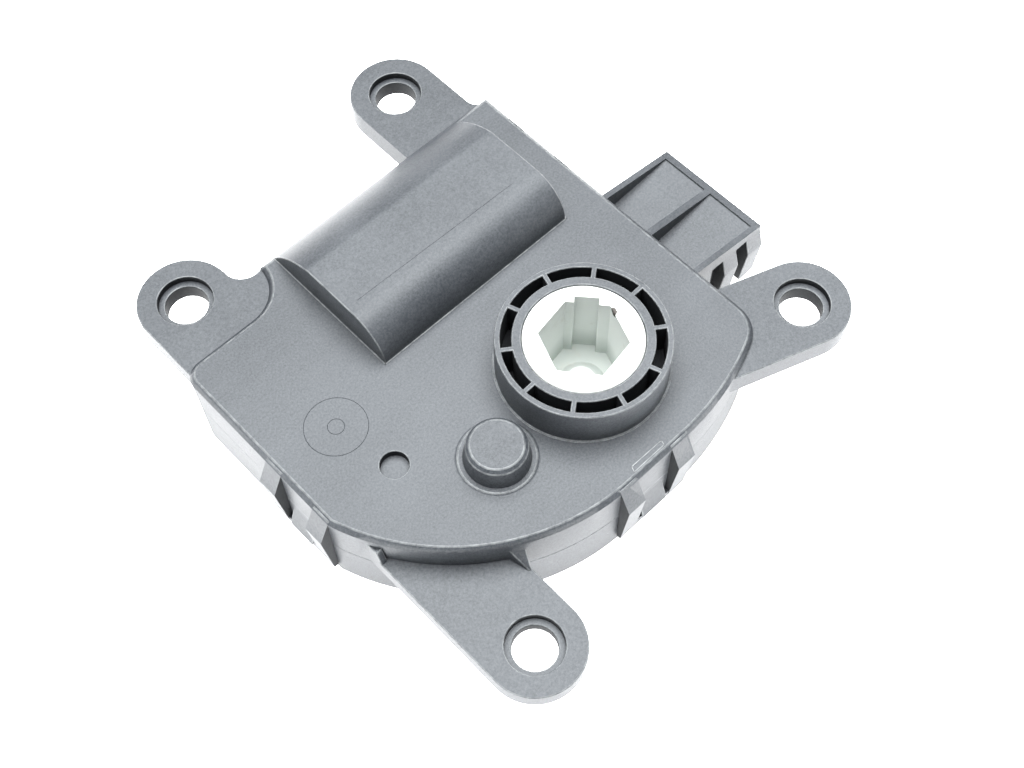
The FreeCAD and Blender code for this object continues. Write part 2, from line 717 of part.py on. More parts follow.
across = (sine(s.right_ear_lean) * s.ear_radius, cosine(s.right_ear_lean) * s.ear_radius)
inwards = (-s.right_ear_root * cosine(s.right_ear_lean), -s.right_ear_root * sine(s.right_ear_lean))
ear_left, ear_right = front_ear[0] - s.ear_radius, front_ear[0] + s.ear_radius
ears = [
    ear("back_ear", *back_ear, [
        (back_ear[0] - s.ear_radius, back_y - s.wall),
        (back_ear[0] + s.ear_radius + s.back_ear_flare, back_y - s.wall),
        (back_ear[0] + s.ear_radius + s.back_ear_flare, back_y, -s.back_ear_flare),
        (back_ear[0] + s.ear_radius, back_y + s.back_ear_flare),
        (back_ear[0] + s.ear_radius, back_ear[1]),
        (back_ear[0] - s.ear_radius, back_ear[1]),
    ]),
    ear("left_ear", *left_ear, [
        (left_ear[0] - s.ear_radius, back_y - s.step_depth - s.wall),
        (s.step_x + s.step_depth, back_y - s.step_depth - s.wall),
        (s.step_x + s.step_depth, back_y - s.fit_gap, -s.left_ear_flare),
        (left_ear[0] + s.ear_radius, left_ear[1]),
        (left_ear[0] - s.ear_radius, left_ear[1]),
    ]),
    ear("right_ear", *right_ear, [
        (right_ear[0] + across[0], right_ear[1] - across[1]),
        (right_ear[0] - across[0], right_ear[1] + across[1]),
        (right_ear[0] - across[0] + inwards[0], right_ear[1] + across[1] + inwards[1]),
        (right_ear[0] + across[0] + inwards[0], right_ear[1] - across[1] + inwards[1]),
    ]),
    ear("front_ear", *front_ear, [
        (ear_left, front_ear[1]),
        (ear_right, front_ear[1]),
        (ear_right, arc_wall(ear_right) + s.wall),
        (ear_left, arc_wall(ear_left) + s.wall),
    ]),
]
ear_holes = [
    ear_hole("back_ear_hole", *back_ear),
    ear_hole("left_ear_hole", *left_ear),
    ear_hole("right_ear_hole", *right_ear),
    ear_hole("front_ear_hole", *front_ear),
]

# Connector shell on the right wall
pocket_end = s.shell_reach - s.lip_width
slope = s.shell_fall / (s.shell_reach - s.case_right)
pocket_lip = s.shell_top - slope * (pocket_end - s.case_right)
shell = prism(
    "connector_block",
    [
        (s.case_right - s.wall, s.shell_bottom),
        (s.shell_reach, s.shell_bottom),
        (s.shell_reach, s.shell_top - s.shell_fall),
        (s.case_right, s.shell_top),
        (s.case_right - s.wall, s.shell_top),
    ],
    s.shell_front,
    s.shell_back,
    "XZ",
)
mouth = box(
    "mouth",
    (s.mouth_back, s.shell_reach + 1),
    (s.shell_front + s.shell_wall, s.shell_back - s.shell_wall),
    (s.shell_bottom + s.shell_wall, s.mouth_top),
)
pocket_middle = (s.shell_front + s.shell_back) / 2 + s.pocket_shift


def ramped_pocket(name, front, back):
    return prism(
        name,
        [
            (s.case_right, s.shell_top - s.pocket_depth),
            (pocket_end, pocket_lip - s.pocket_step),
            (pocket_end, s.shell_top + 1),
            (s.case_right, s.shell_top + 1),
        ],
        front,
        back,
        "XZ",
    )


shell_cuts = [
    ramped_pocket("front_pocket", s.shell_front + s.pocket_strip, pocket_middle - s.pocket_rib / 2),
    ramped_pocket("back_pocket", pocket_middle + s.pocket_rib / 2, s.shell_back - s.pocket_strip),
]
shell_ribs = []
slot_start = s.case_right + s.inner_slot
slot_top = s.shell_top - s.shell_fall - s.slot_roof
for number in range(2):
    slot_end = slot_start + s.key_slot
    shell_cuts.append(box(
        f"key_slot_{number}",
        (slot_start, slot_end),
        (s.shell_front - 1, s.shell_front + s.key_slot_depth),
        (s.shell_bottom - 1, slot_top),
    ))
    slot_start = slot_start + s.slot_spacing
    shell_ribs.append(prism(
        f"shell_rib_{number}",
        [
            (s.shell_front + s.key_slot_depth, slot_top),
            (s.shell_front, slot_top),
            (s.shell_front - s.rib_proud, -s.rib_ridge),
            (s.shell_front - s.rib_foot, s.shell_bottom),
            (s.shell_front + s.key_slot_depth, s.shell_bottom),
        ],
        slot_end,
        s.shell_reach if number else slot_start,
        "YZ",
    ))

# Connector pins lie on the circuit board and pass through the back wall of the mouth
pin_low = s.board_top
board_right = derived("board_right", s.case_right - s.wall - s.board_gap)
pin_row = (s.shell_front + s.shell_back) / 2
pin_ways, pins = [], []
for number in range(int(s.terminal_count.value)):
    middle = pin_row + (number - (s.terminal_count.value - 1) / 2) * s.terminal_pitch
    sides = (middle - s.terminal_size / 2, middle + s.terminal_size / 2)
    way = (sides[0] - s.fit_gap, sides[1] + s.fit_gap)
    pin_ways.append(box(f"pin_way_{number}", (s.case_right - s.wall - 1, s.mouth_back + 1), way,
                        (pin_low - s.fit_gap, pin_low + s.terminal_size + s.fit_gap)))
    pins.append(box(f"pin_{number}", (board_right - s.terminal_tail, s.mouth_back + s.terminal_free), sides,
                    (pin_low, pin_low + s.terminal_size)))
piece("connector_pins", group("connector_pins", *pins))


# Latches: a loop on the upper housing hangs over the lower one and catches below its hook
def latch_prism(name, wall_side, corners, middle, half):
    """A profile of (distance outside the wall, z) corners, drawn out along the wall."""
    faces = {"left": -s.case_left, "front": -front_y, "right": s.case_right}
    outwards = 1 if wall_side == "right" else -1
    return prism(name, [(faces[wall_side] + outwards * as_size(out), z) for out, z in corners],
                 middle - half, middle + half, "YZ" if wall_side == "front" else "XZ")


loops, hooks = [], []
latch_places = (("left", s.left_latch_y), ("front", s.front_latch_x), ("right", s.right_latch_y))
bar_top = s.loop_bar - s.leg_reach
for wall_side, middle in latch_places:
    for sign in (-1, 1):
        loops.append(latch_prism(
            f"{wall_side}_leg_{sign + 1}",
            wall_side,
            [
                (-s.wall / 2, -s.leg_top),
                (-s.leg_inset, -s.leg_top),
                (s.leg_proud, -s.leg_ridge),
                (s.loop_sheet, -s.leg_reach),
                (s.fit_gap, -s.leg_reach),
                (s.fit_gap, parting),
                (-s.wall / 2, parting),
            ],
            middle + s.leg_spacing / 2 * sign,
            s.leg_width / 2,
        ))
    loops.append(latch_prism(
        f"{wall_side}_bar",
        wall_side,
        [
            (s.fit_gap, -s.leg_reach),
            (s.loop_sheet, -s.leg_reach),
            (s.loop_sheet, bar_top),
            (s.fit_gap, bar_top),
        ],
        middle,
        s.leg_spacing / 2,
    ))
    hooks.append(latch_prism(
        f"{wall_side}_hook",
        wall_side,
        [
            (-s.wall / 2, bar_top + s.hook_gap),
            (s.hook_proud, bar_top + s.hook_gap),
            (zero, bar_top + s.hook_gap + s.hook_height),
            (-s.wall / 2, bar_top + s.hook_gap + s.hook_height),
        ],
        middle,
        s.hook_width / 2,
    ))

# Gussets between the wall and the lower ear: a small rib on the left, a corner web on the right
gusset_wall = arc_wall(ear_left + s.gusset_width)
ear_middle = front_ear[2] - s.ear_thickness / 2
gusset = prism(
    "gusset",
    [
        (gusset_wall - s.gusset_reach, ear_middle),
        (gusset_wall + s.wall, ear_middle),
        (gusset_wall + s.wall, -s.gusset_top),
        (gusset_wall, -s.gusset_top),
    ],
    ear_left,
    ear_left + s.gusset_width,
    "YZ",
)
web = doc.addObject("Part::Wedge", "corner_web")
web_wall = arc_wall(ear_right)
for limit, size in (
    ("Xmin", ear_right - s.web_tip * 1.5),
    ("Xmax", ear_right - s.web_tip / 2),
    ("X2min", ear_right - s.web_width / 2),
    ("X2max", ear_right + s.web_width / 2),
    ("Ymin", web_wall - s.web_reach),
    ("Ymax", web_wall + s.wall / 2),
    ("Zmin", ear_middle),
    ("Zmax", front_ear[2]),
    ("Z2min", parting),
    ("Z2max", -s.gusset_top),
):
    bind(web, limit, size)

upper_shell = cut(
    "upper_shell",
    fused("upper_mass", upper_outside, cover, *ears, gusset, web, *loops),
    upper_room,
    motor_room,
    worm_room,
)
pin_boss = cylinder("second_pin_boss", s.pin_radius + s.pin_radius, -s.wall - s.pin_boss_height, -s.wall,
                    second_x, second_y)
stop_reach = (s.hub_radius + s.stop_inset, s.stop_radius)
stops = []
for number, sign in enumerate((-1, 1)):
    stop_angle = 180 + (s.travel + s.stop_margin) * sign
    stops.append(spoke(f"stop_rib_{number}", stop_angle, *stop_reach, s.stop_width,
                       output_top + s.stop_clear, -s.wall))
upper_body = fused("upper_body", upper_shell, collar, dome, shell, *shell_ribs, pin_boss, *stops)
pin_holes = [
    cylinder("first_pin_hole", s.pin_radius, -s.wall - 1, s.pin_depth - s.wall, first_x, s.first_y),
    cylinder("second_pin_hole", s.pin_radius, -s.wall - 2, -s.wall, second_x, second_y),
    cylinder("third_pin_hole", s.pin_radius, -s.wall - 1, s.dome_height - s.wall, third_x, third_y),
]
recess = cylinder("recess", s.recess_radius, -s.recess_depth, Size(1.0), second_x, second_y)
piece("upper_housing", cut("upper_housing", upper_body, hub_bore, collar_groove, recess,
                           mouth, *shell_cuts, *pin_ways, *pin_holes, *ear_holes))

# Lower housing: tray with posts for the pins, the board and the output gear
tray = prism("tray_block", case_outline(zero), bottom_z, parting)
tray_room = prism("tray_room", case_outline(s.wall), floor_z, parting + 1)
shell_notch = box(
    "shell_notch",
    (s.case_right - s.wall - 0.5, s.case_right + 1),
    (s.shell_front - s.fit_gap, s.shell_back + s.fit_gap),
    (s.shell_bottom - s.fit_gap, parting + 1),
)
lower_shell = cut("lower_shell", fused("lower_mass", tray, *hooks), tray_room, motor_room, shell_notch)
posts = [
    cylinder("first_post", s.gear_hub + s.hub_shoulder, floor_z - s.weld, middle_low - s.first_post_gap, first_x, s.first_y),
    cylinder("second_post", s.gear_hub, floor_z - s.weld, low_end - s.post_gap, second_x, second_y),
    cylinder("third_post", s.gear_hub, floor_z - s.weld, low_end - s.post_gap, third_x, third_y),
    cylinder("journal_post", s.journal_bore - s.fit_gap, floor_z - s.weld, output_low - s.journal_post_gap),
]
board_low = s.board_top - s.board_thickness
for number, (x, y) in enumerate((
    (board_right - s.peg_inset, s.board_back - s.peg_inset),
    (board_right - s.corner_peg_inset, s.board_front + s.corner_peg_inset),
    (s.board_left + s.left_peg_inset, s.board_back - s.peg_inset),
    (s.board_left + s.left_peg_inset, s.board_front + s.front_peg_inset),
)):
    posts.append(box(f"board_post_{number}", (x - s.peg_half, x + s.peg_half),
                     (y - s.peg_half, y + s.peg_half), (floor_z - s.weld, board_low)))
cradle_x = derived("cradle_x", s.wall - s.case_left + s.cradle_gap)
cradle = cut(
    "cradle",
    box("cradle_block", (cradle_x, cradle_x + s.cradle_sheet), (motor_y - s.cradle_half, motor_y + s.cradle_half),
        (floor_z - s.weld, motor_z + s.shaft_radius)),
    rod("cradle_hole", s.shaft_radius + s.fit_gap, cradle_x - 1, cradle_x + 3),
    box("cradle_slot", (cradle_x - 1, cradle_x + 3),
        (motor_y - s.shaft_radius - s.fit_gap, motor_y + s.shaft_radius + s.fit_gap),
        (motor_z, motor_z + 5)),
)
seats = [
    box(f"motor_seat_{number}", (x, x + s.seat_rib), (motor_y - s.seat_half, motor_y + s.seat_half),
        (floor_z - s.weld, motor_z - s.can_half_height))
    for number, x in enumerate((motor_front + s.front_seat, can_end - s.back_seat))
]
lower_body = fused("lower_body", lower_shell, *posts, cradle, *seats)
lower_holes = [
    cylinder("first_seat", s.pin_radius, floor_z - s.pin_depth, parting, first_x, s.first_y),
    cylinder("second_seat", s.pin_radius, floor_z - s.pin_depth, parting, second_x, second_y),
    cylinder("third_seat", s.pin_radius, floor_z - s.pin_depth, parting, third_x, third_y),
]
piece("lower_housing", cut("lower_housing", lower_body, *lower_holes))

# Gear pins
pin_foot = floor_z - s.pin_depth
piece("first_gear_pin", cylinder("first_gear_pin", s.pin_radius, pin_foot, s.pin_depth - s.wall,
                                 first_x, s.first_y))
piece("second_gear_pin", cylinder("second_gear_pin", s.pin_radius, pin_foot, -s.wall - s.pin_end_gap,
                                  second_x, second_y))
piece("third_gear_pin", cylinder("third_gear_pin", s.pin_radius, pin_foot, s.dome_height - s.wall,
                                 third_x, third_y))

# Motor
can = cut("can_cup", flat_can("can_block", zero, motor_front, can_end),
          flat_can("can_room", -s.can_wall, motor_front + s.can_wall, can_end + 1))
can = fused("can_with_boss", can, rod("can_boss", s.boss_radius, motor_front - s.boss_length,
                                      motor_front + s.can_wall))
bore = s.shaft_radius + s.fit_gap
piece("motor_can", cut("motor_can", can, rod("can_bore", bore, motor_front - s.boss_length - 1,
                                             motor_front + s.can_wall + 1)))
piece("motor_end_cap", cut("motor_end_cap", flat_can("cap_plate", zero, can_end, motor_end),
                           rod("cap_bore", bore, can_end - 1, can_end + s.cap_bore)))
magnet_left = motor_front + s.can_wall + s.magnet_gap
magnet_right = magnet_left + s.rotor_length + s.magnet_excess
magnet_ring = cut("magnet_ring", rod("magnet_outside", s.can_radius - s.can_wall, magnet_left,
                                     magnet_right),
                  rod("magnet_inside", s.can_radius - s.can_wall - s.magnet_thickness,
                      magnet_left - 1, magnet_right + 1))
magnet_flat = s.can_half_height - s.can_wall - s.magnet_trim
magnet_band = box("magnet_band", (magnet_left - 1, magnet_right + 1),
                  (motor_y - s.can_radius, motor_y + s.can_radius),
                  (motor_z - magnet_flat, motor_z + magnet_flat))
piece("motor_magnets", common("motor_magnets", magnet_ring, magnet_band))

# Rotor: three poles with coils, commutator, shaft
core_left = magnet_left + 1
core_right = core_left + s.rotor_length


def round_motor_axis(item, angle):
    """Turns a piece that stands on the motor axis with its length along the axis."""
    item.Placement.Rotation = Rotation(Vector(1, 0, 0), angle)
    return item


def pole_bar(name, number, inner, outer, half, left, right):
    """A bar that points away from the motor axis, one for each pole."""
    angle = 90 + 120 * number
    bar = doc.addObject("Part::Box", name)
    bind(bar, "Length", right - left)
    bind(bar, "Width", outer - inner)
    bind(bar, "Height", half * 2)
    round_motor_axis(bar, angle)
    bind(bar, "Placement.Base.x", left)
    bind(bar, "Placement.Base.y", motor_y + inner * cosine(angle) + half * sine(angle))
    bind(bar, "Placement.Base.z", motor_z + inner * sine(angle) - half * cosine(angle))
    return bar


coil_inner, coil_outer = s.shaft_radius + s.coil_floor, s.rotor_radius - s.coil_top
necks = [pole_bar(f"neck_{n}", n, s.shaft_radius, s.rotor_radius - s.neck_inset, s.tooth_neck / 2,
                  core_left, core_right) for n in range(3)]
shoe_ring = cut("shoe_ring", rod("shoe_outside", s.rotor_radius, core_left, core_right),
                rod("shoe_inside", s.rotor_radius - s.shoe_sheet, core_left - 1, core_right + 1))
shoe_gaps = [pole_bar(f"shoe_gap_{n}", n + 0.5, s.shaft_radius, s.rotor_radius + 1,
                      s.shoe_gap / 2, core_left - 1, core_right + 1) for n in range(3)]
shoes = cut("shoes", shoe_ring, *shoe_gaps)
core_hub = rod("core_hub", s.shaft_radius + s.core_sleeve, core_left, core_right)
piece("rotor_core", cut("rotor_core", fused("core_mass", shoes, core_hub, *necks),
                        rod("core_bore", s.shaft_radius, core_left - 1, core_right + 1)))
coils = [cut(f"coil_{n}",
             pole_bar(f"coil_block_{n}", n, coil_inner, coil_outer, s.tooth_neck / 2 + s.coil_side,
                      core_left - s.coil_overhang, core_right + s.coil_overhang),
             shoe_ring,
             pole_bar(f"coil_neck_{n}", n, s.shaft_radius, s.rotor_radius, s.tooth_neck / 2,
                      core_left, core_right)) for n in range(3)]
piece("rotor_windings", group("rotor_windings", *coils))
commutator_left = core_right + s.coil_overhang + s.commutator_gap
piece("commutator", cut("commutator", rod("commutator_drum", s.commutator_radius, commutator_left,
                                          commutator_left + s.commutator_length),
                        rod("commutator_bore", s.shaft_radius, commutator_left - 1,
                            commutator_left + s.commutator_length + 1)))
brush_low = commutator_left + s.brush_inset
brushes = [
    box(f"brush_{n}", (brush_low, can_end),
        (motor_y + s.commutator_radius + s.fit_gap, motor_y + s.commutator_radius + s.brush_height) if n
        else (motor_y - s.commutator_radius - s.brush_height, motor_y - s.commutator_radius - s.fit_gap),
        (motor_z - s.brush_half, motor_z + s.brush_half))
    for n in range(2)
]
piece("motor_brushes", group("motor_brushes", *brushes))
piece("motor_shaft", rod("motor_shaft", s.shaft_radius, cradle_x + s.shaft_inset, can_end + s.shaft_tail))
piece("motor_pad", box("motor_pad", (motor_front + s.pad_inset, can_end - s.pad_inset),
                       (motor_y - s.seat_half, motor_y + s.seat_half),
                       (floor_z, motor_z - s.can_half_height)))
tabs = [
    box(f"tab_{n}", (motor_end, motor_end + s.tab_length),
        (motor_y + s.terminal_spread * sign - s.lead_width / 2,
         motor_y + s.terminal_spread * sign + s.lead_width / 2),
        (motor_z - s.lead_sheet / 2, motor_z + s.lead_sheet / 2))
    for n, sign in enumerate((-1, 1))
]
piece("motor_terminals", group("motor_terminals", *tabs))

# Leads rise from the board to the motor's terminals
lead_foot = s.board_back - s.lead_start
leads = []
for n, sign in enumerate((-1, 1)):
    left = motor_end + s.lead_gap + n * s.lead_step
    post_y = motor_y + s.terminal_spread * sign
    leads.append(prism(
        f"lead_{n}",
        [
            (lead_foot, s.board_top),
            (post_y + s.lead_width / 2, s.board_top),
            (post_y + s.lead_width / 2, motor_z - s.lead_sheet / 2),
            (post_y - s.lead_width / 2, motor_z - s.lead_sheet / 2),
            (post_y - s.lead_width / 2, s.board_top + s.lead_foot),
            (lead_foot, s.board_top + s.lead_foot),
        ],
        left,
        left + s.lead_sheet,
        "YZ",
    ))
piece("motor_leads", group("motor_leads", *leads))

# Position sensor
board_plate = prism(
    "board_plate",
    [
        (s.board_left, s.board_front),
        (board_right - s.board_corner, s.board_front),
        (board_right, s.board_front + s.board_corner),
        (board_right, s.board_back),
        (s.board_left, s.board_back),
    ],
    board_low,
    s.board_top,
)
piece("circuit_board", cut("circuit_board", board_plate,
                           cylinder("board_opening", s.board_hole, board_low - 1, s.board_top + 1)))


inner, outer = s.inner_track, s.outer_track + s.track_width
edge = (cosine(s.track_sweep), sine(s.track_sweep))
piece("resistive_tracks", prism(
    "resistive_tracks",
    [
        (inner * edge[0], -inner * edge[1]),
        (outer * edge[0], -outer * edge[1], outer),
        (outer * edge[0], outer * edge[1]),
        (inner * edge[0], inner * edge[1], -inner),
    ],
    s.board_top,
    s.board_top + s.track_thickness,
))

# Wiper: a strip under the output wheel with a springy finger for each track
wiper_base = box("wiper_base", (s.inner_track, s.outer_track + s.track_width),
                 (-s.wiper_length / 2 - s.wiper_foot, -s.wiper_length / 2 + s.wiper_foot),
                 (output_low - s.wiper_sheet, output_low))
finger_top = output_low - s.wiper_sheet
finger_low = s.board_top + s.track_thickness + s.wiper_clear
fingers = []
for number, inner in enumerate((s.inner_track, s.outer_track)):
    start = -s.wiper_length / 2
    fingers.append(prism(
        f"finger_{number}",
        [
            (start, finger_top),
            (start + s.wiper_length, finger_low),
            (start + s.wiper_length + s.wiper_tip, finger_low + s.wiper_tip_rise),
            (start + s.wiper_length + s.wiper_tip - s.weld, finger_low + s.wiper_tip_rise + 0.3),
            (start + s.wiper_length, finger_low + s.wiper_sheet + s.weld),
            (start + s.wiper_tip - s.weld, finger_top + s.weld),
            (start, finger_top + s.weld),
        ],
        inner + s.finger_inset,
        inner + s.track_width - s.finger_inset,
        "YZ",
    ))
piece("wiper", fused("wiper", wiper_base, *fingers))


# Gears
def toothed(teeth, module, turn):
    """Closed outline through points of involute teeth, one of them centred on the angle turn, in
    degrees. Fine teeth have straight flanks."""
    pitch = teeth * module / 2
    slant = math.radians(s.pressure_angle.value)
    base = pitch * math.cos(slant)
    lowest, tip = pitch - 1.25 * module, pitch + module
    radii = [lowest, tip] if module < s.coarse_module.value else [lowest, pitch, tip]
    half_tooth = math.pi / teeth / 2 - s.backlash.value / 2 / pitch

    def half_angle(radius):
        lean_here = math.acos(min(base / max(radius, base), 1))
        return half_tooth + math.tan(slant) - slant - math.tan(lean_here) + lean_here

    points = []
    for tooth in range(teeth):
        middle = math.radians(turn) + 2 * math.pi * tooth / teeth
        flank = [(radius, -half_angle(radius)) for radius in radii]
        for radius, angle in flank + [(r, -a) for r, a in reversed(flank)]:
            points.append(Vector(radius * math.cos(middle + angle), radius * math.sin(middle + angle)))
    return Part.makePolygon(points + points[:1])


def straight_gear(teeth, module, turn, low, high):
    wire = toothed(int(teeth.value), module.value, turn)
    wire.translate(Vector(0, 0, low.value))
    return Part.Face(wire).extrude(Vector(0, 0, high.value - low.value))


def helical_gear(teeth, module, turn, low, high, twist):
    """The teeth lean by twist, in degrees, from the lower to the upper face."""
    wires = []
    for level, offset in ((low, -twist / 2), (high, twist / 2)):
        wire = toothed(int(teeth.value), module.value, turn + offset)
        wire.translate(Vector(0, 0, level.value))
        wires.append(wire)
    return Part.makeLoft(wires, True, True)


def drum(radius, low, high):
    height = as_size(high).value - as_size(low).value
    return Part.makeCylinder(as_size(radius).value, height, Vector(0, 0, as_size(low).value))


def gear(name, shape, x, y):
    item = doc.addObject("Part::Feature", name)
    item.Shape = shape
    bind(item, "Placement.Base.x", x)
    bind(item, "Placement.Base.y", y)
    return piece(name, item)


def meshing(turn, teeth, other_teeth, direction):
    """Turn of a gear whose gap meets the tooth of the gear that it follows."""
    step, other_step = 360 / teeth.value, 360 / other_teeth.value
    offset = (direction - turn) / step % 1
    return direction + 180 + (offset - 0.5) * other_step


def direction(from_x, from_y, to_x, to_y):
    return math.degrees(math.atan2(as_size(to_y).value - as_size(from_y).value,
                                   as_size(to_x).value - as_size(from_x).value))


first_wheel_turn, first_pinion_turn, second_pinion_turn, third_pinion_turn = 90.0, 0.0, 0.0, 0.0
towards_second = direction(first_x, s.first_y, second_x, second_y)
towards_third = direction(second_x, second_y, third_x, third_y)
towards_output = direction(third_x, third_y, 0, 0)
second_wheel_turn = meshing(first_pinion_turn, s.first_pinion_teeth, s.second_wheel_teeth, towards_second)
third_wheel_turn = meshing(second_pinion_turn, s.second_pinion_teeth, s.third_wheel_teeth, towards_third)
output_turn = meshing(third_pinion_turn, s.third_pinion_teeth, s.output_teeth, towards_output)

lead_slope = s.fine_module.value / 2 / s.worm_pitch_radius.value
worm_twist = math.degrees(lead_slope * s.worm_face.value / first_pitch.value)
gear_bore = s.pin_radius + s.fit_gap

first_shape = helical_gear(s.first_wheel_teeth, s.fine_module, first_wheel_turn,
                           worm_wheel_low, worm_wheel_top, worm_twist)
first_shape = first_shape.fuse([
    straight_gear(s.first_pinion_teeth, s.fine_module, first_pinion_turn,
                  middle_low - s.gear_overlap, worm_wheel_low),
])
first_shape = first_shape.cut(drum(gear_bore, middle_low - 1, worm_wheel_top + 1))
gear("first_gear", first_shape, first_x, s.first_y)

second_shape = straight_gear(s.second_wheel_teeth, s.fine_module, second_wheel_turn, middle_low, middle_top)
second_shape = second_shape.fuse([
    straight_gear(s.second_pinion_teeth, s.fine_module, second_pinion_turn, low_end, middle_low),
    drum(s.gear_hub, middle_top, -s.wall - s.hub_rise),
])
second_shape = second_shape.cut(drum(gear_bore, low_end - 1, zero))
gear("second_gear", second_shape, second_x, second_y)

third_shape = straight_gear(s.third_wheel_teeth, s.fine_module, third_wheel_turn, low_end, low_top)
third_shape = third_shape.fuse([
    straight_gear(s.third_pinion_teeth, s.coarse_module, third_pinion_turn,
                  output_low - s.gear_overlap, worm_wheel_top),
    drum(s.gear_hub + s.hub_shoulder, low_top, output_low - s.gear_overlap),
])
third_shape = third_shape.cut(drum(gear_bore, low_end - 1, zero))
gear("third_gear", third_shape, third_x, third_y)

# Worm: a single thread in flat facets, each ring of points turned and moved on from the last
pitch_length = math.pi * s.fine_module.value
core_radius = s.worm_pitch_radius.value - 1.25 * s.fine_module.value
thread_turns = math.floor(s.worm_length.value / pitch_length)
rings_per_turn = 8


def thread_ring(number, steps=3):
    """Section across the worm: crest, flank, core and flank again."""
    slant = math.tan(math.radians(s.pressure_angle.value))
    flank = []
    for step in range(steps + 1):
        radius = worm_tip.value + (core_radius - worm_tip.value) * step / steps
        half = pitch_length / 4 - s.backlash.value / 2 + (s.worm_pitch_radius.value - radius) * slant
        flank.append((radius, 2 * math.pi * half / pitch_length))
    ring = [(r, -a) for r, a in reversed(flank)] + [(worm_tip.value, 0)] + flank
    ring.append((core_radius, math.pi))
    height = (number / rings_per_turn - thread_turns / 2) * pitch_length
    turn = 2 * math.pi * height / pitch_length + math.pi / 2
    return [Vector(r * math.cos(a + turn), r * math.sin(a + turn), height) for r, a in ring]


rings = [thread_ring(number) for number in range(thread_turns * rings_per_turn + 1)]
facets = []
for lower, upper in zip(rings, rings[1:]):
    for number in range(len(lower)):
        after = (number + 1) % len(lower)
        for corners in ((lower[number], lower[after], upper[after]),
                        (lower[number], upper[after], upper[number])):
            facets.append(Part.Face(Part.makePolygon([*corners, corners[0]])))
for ring in (rings[0], rings[-1]):
    facets.append(Part.Face(Part.makePolygon(ring + ring[:1])))
thread = Part.Solid(Part.Shell(facets))
if thread.Volume < 0:
    thread.reverse()
thread_half = thread_turns * pitch_length / 2
worm_bore = Part.makeCylinder(s.shaft_radius.value, 4 * thread_half, Vector(0, 0, -2 * thread_half))
worm = doc.addObject("Part::Feature", "worm")
worm.Shape = thread.cut(worm_bore)
worm.Placement = FreeCAD.Placement(Vector(), Rotation(Vector(0, 1, 0), 90))
bind(worm, "Placement.Base.x", first_x)
bind(worm, "Placement.Base.y", motor_y)
bind(worm, "Placement.Base.z", motor_z)
piece("worm", worm)

# Output gear: hub with its socket, wheel, lower journal and stop lug
hub = turned_profile(
    "output_hub",
    [
        (zero, output_low - s.bore_depth),
        (s.journal_bore, output_low - s.bore_depth),
        (s.journal_bore, floor_z + s.seat_gap),
        (s.journal_radius, floor_z + s.seat_gap),
        (s.journal_radius, output_low),
        (s.hub_radius + s.hub_flange, output_low),
        (s.hub_radius + s.hub_flange, output_top),
        (s.hub_radius, output_top),
        (s.hub_radius, s.collar_height),
        (zero, s.collar_height),
    ],
)
wheel = doc.addObject("Part::Feature", "output_wheel")
wheel.Shape = straight_gear(s.output_teeth, s.coarse_module, output_turn, output_low, output_top)
lug = spoke("stop_lug", 180, *stop_reach, s.stop_width, output_top - s.weld, output_top + s.stop_height)
corner_radius = s.socket_flats / 2 / cosine(30)
socket_low = s.collar_height - s.socket_depth
socket = prism(
    "socket",
    [(corner_radius * cosine(s.socket_turn + 60 * number), corner_radius * sine(s.socket_turn + 60 * number))
     for number in range(6)],
    socket_low,
    s.collar_height + 1,
)
keyway = spoke("keyway", s.key_angle, zero, s.key_reach, s.key_width, socket_low, s.collar_height + 1)
small_keyway = spoke("small_keyway", s.key_angle + 180, zero, s.small_key_reach, s.small_key_width,
                     socket_low, s.collar_height + 1)
hollow_gear = cut("hollow_gear", fused("output_mass", hub, wheel, lug), socket, keyway, small_keyway)
socket_boss = cone("socket_boss", s.boss_foot, s.boss_face, socket_low, socket_low + s.boss_rise)
piece("output_gear", fused("output_gear", hollow_gear, socket_boss))

# Every feature must be sound before anything is written
doc.recompute()
for item in doc.Objects:
    if "Invalid" in item.State or "Error" in item.State:
        raise ValueError(f"{item.Label} failed: {item.State}")
os.makedirs("parts", exist_ok=True)
for name, item in pieces.items():
    if item.Shape.isNull() or not item.Shape.isValid():
        raise ValueError(f"{name} has no valid shape")
for name, item in pieces.items():
    item.Shape.exportStep(f"parts/{name}.step")
    print(name, len(item.Shape.Solids), "solid(s)", round(item.Shape.Volume, 1), "mm3")
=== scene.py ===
import json
import math

import bmesh
import bpy
from mathutils import Matrix, Vector


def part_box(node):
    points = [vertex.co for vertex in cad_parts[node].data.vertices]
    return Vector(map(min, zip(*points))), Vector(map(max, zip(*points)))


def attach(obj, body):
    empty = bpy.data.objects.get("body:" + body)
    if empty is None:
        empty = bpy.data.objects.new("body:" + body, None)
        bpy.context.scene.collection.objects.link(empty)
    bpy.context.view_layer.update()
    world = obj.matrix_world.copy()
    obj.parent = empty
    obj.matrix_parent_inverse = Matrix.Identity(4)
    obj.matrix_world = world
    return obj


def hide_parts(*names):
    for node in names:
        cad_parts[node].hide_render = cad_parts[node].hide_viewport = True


# Places come from the frame: origin on the output axis, at the face of the top plate.
# In the dictionaries lengths are millimetres, except for the studio's, and angles are degrees
mm = 0.001

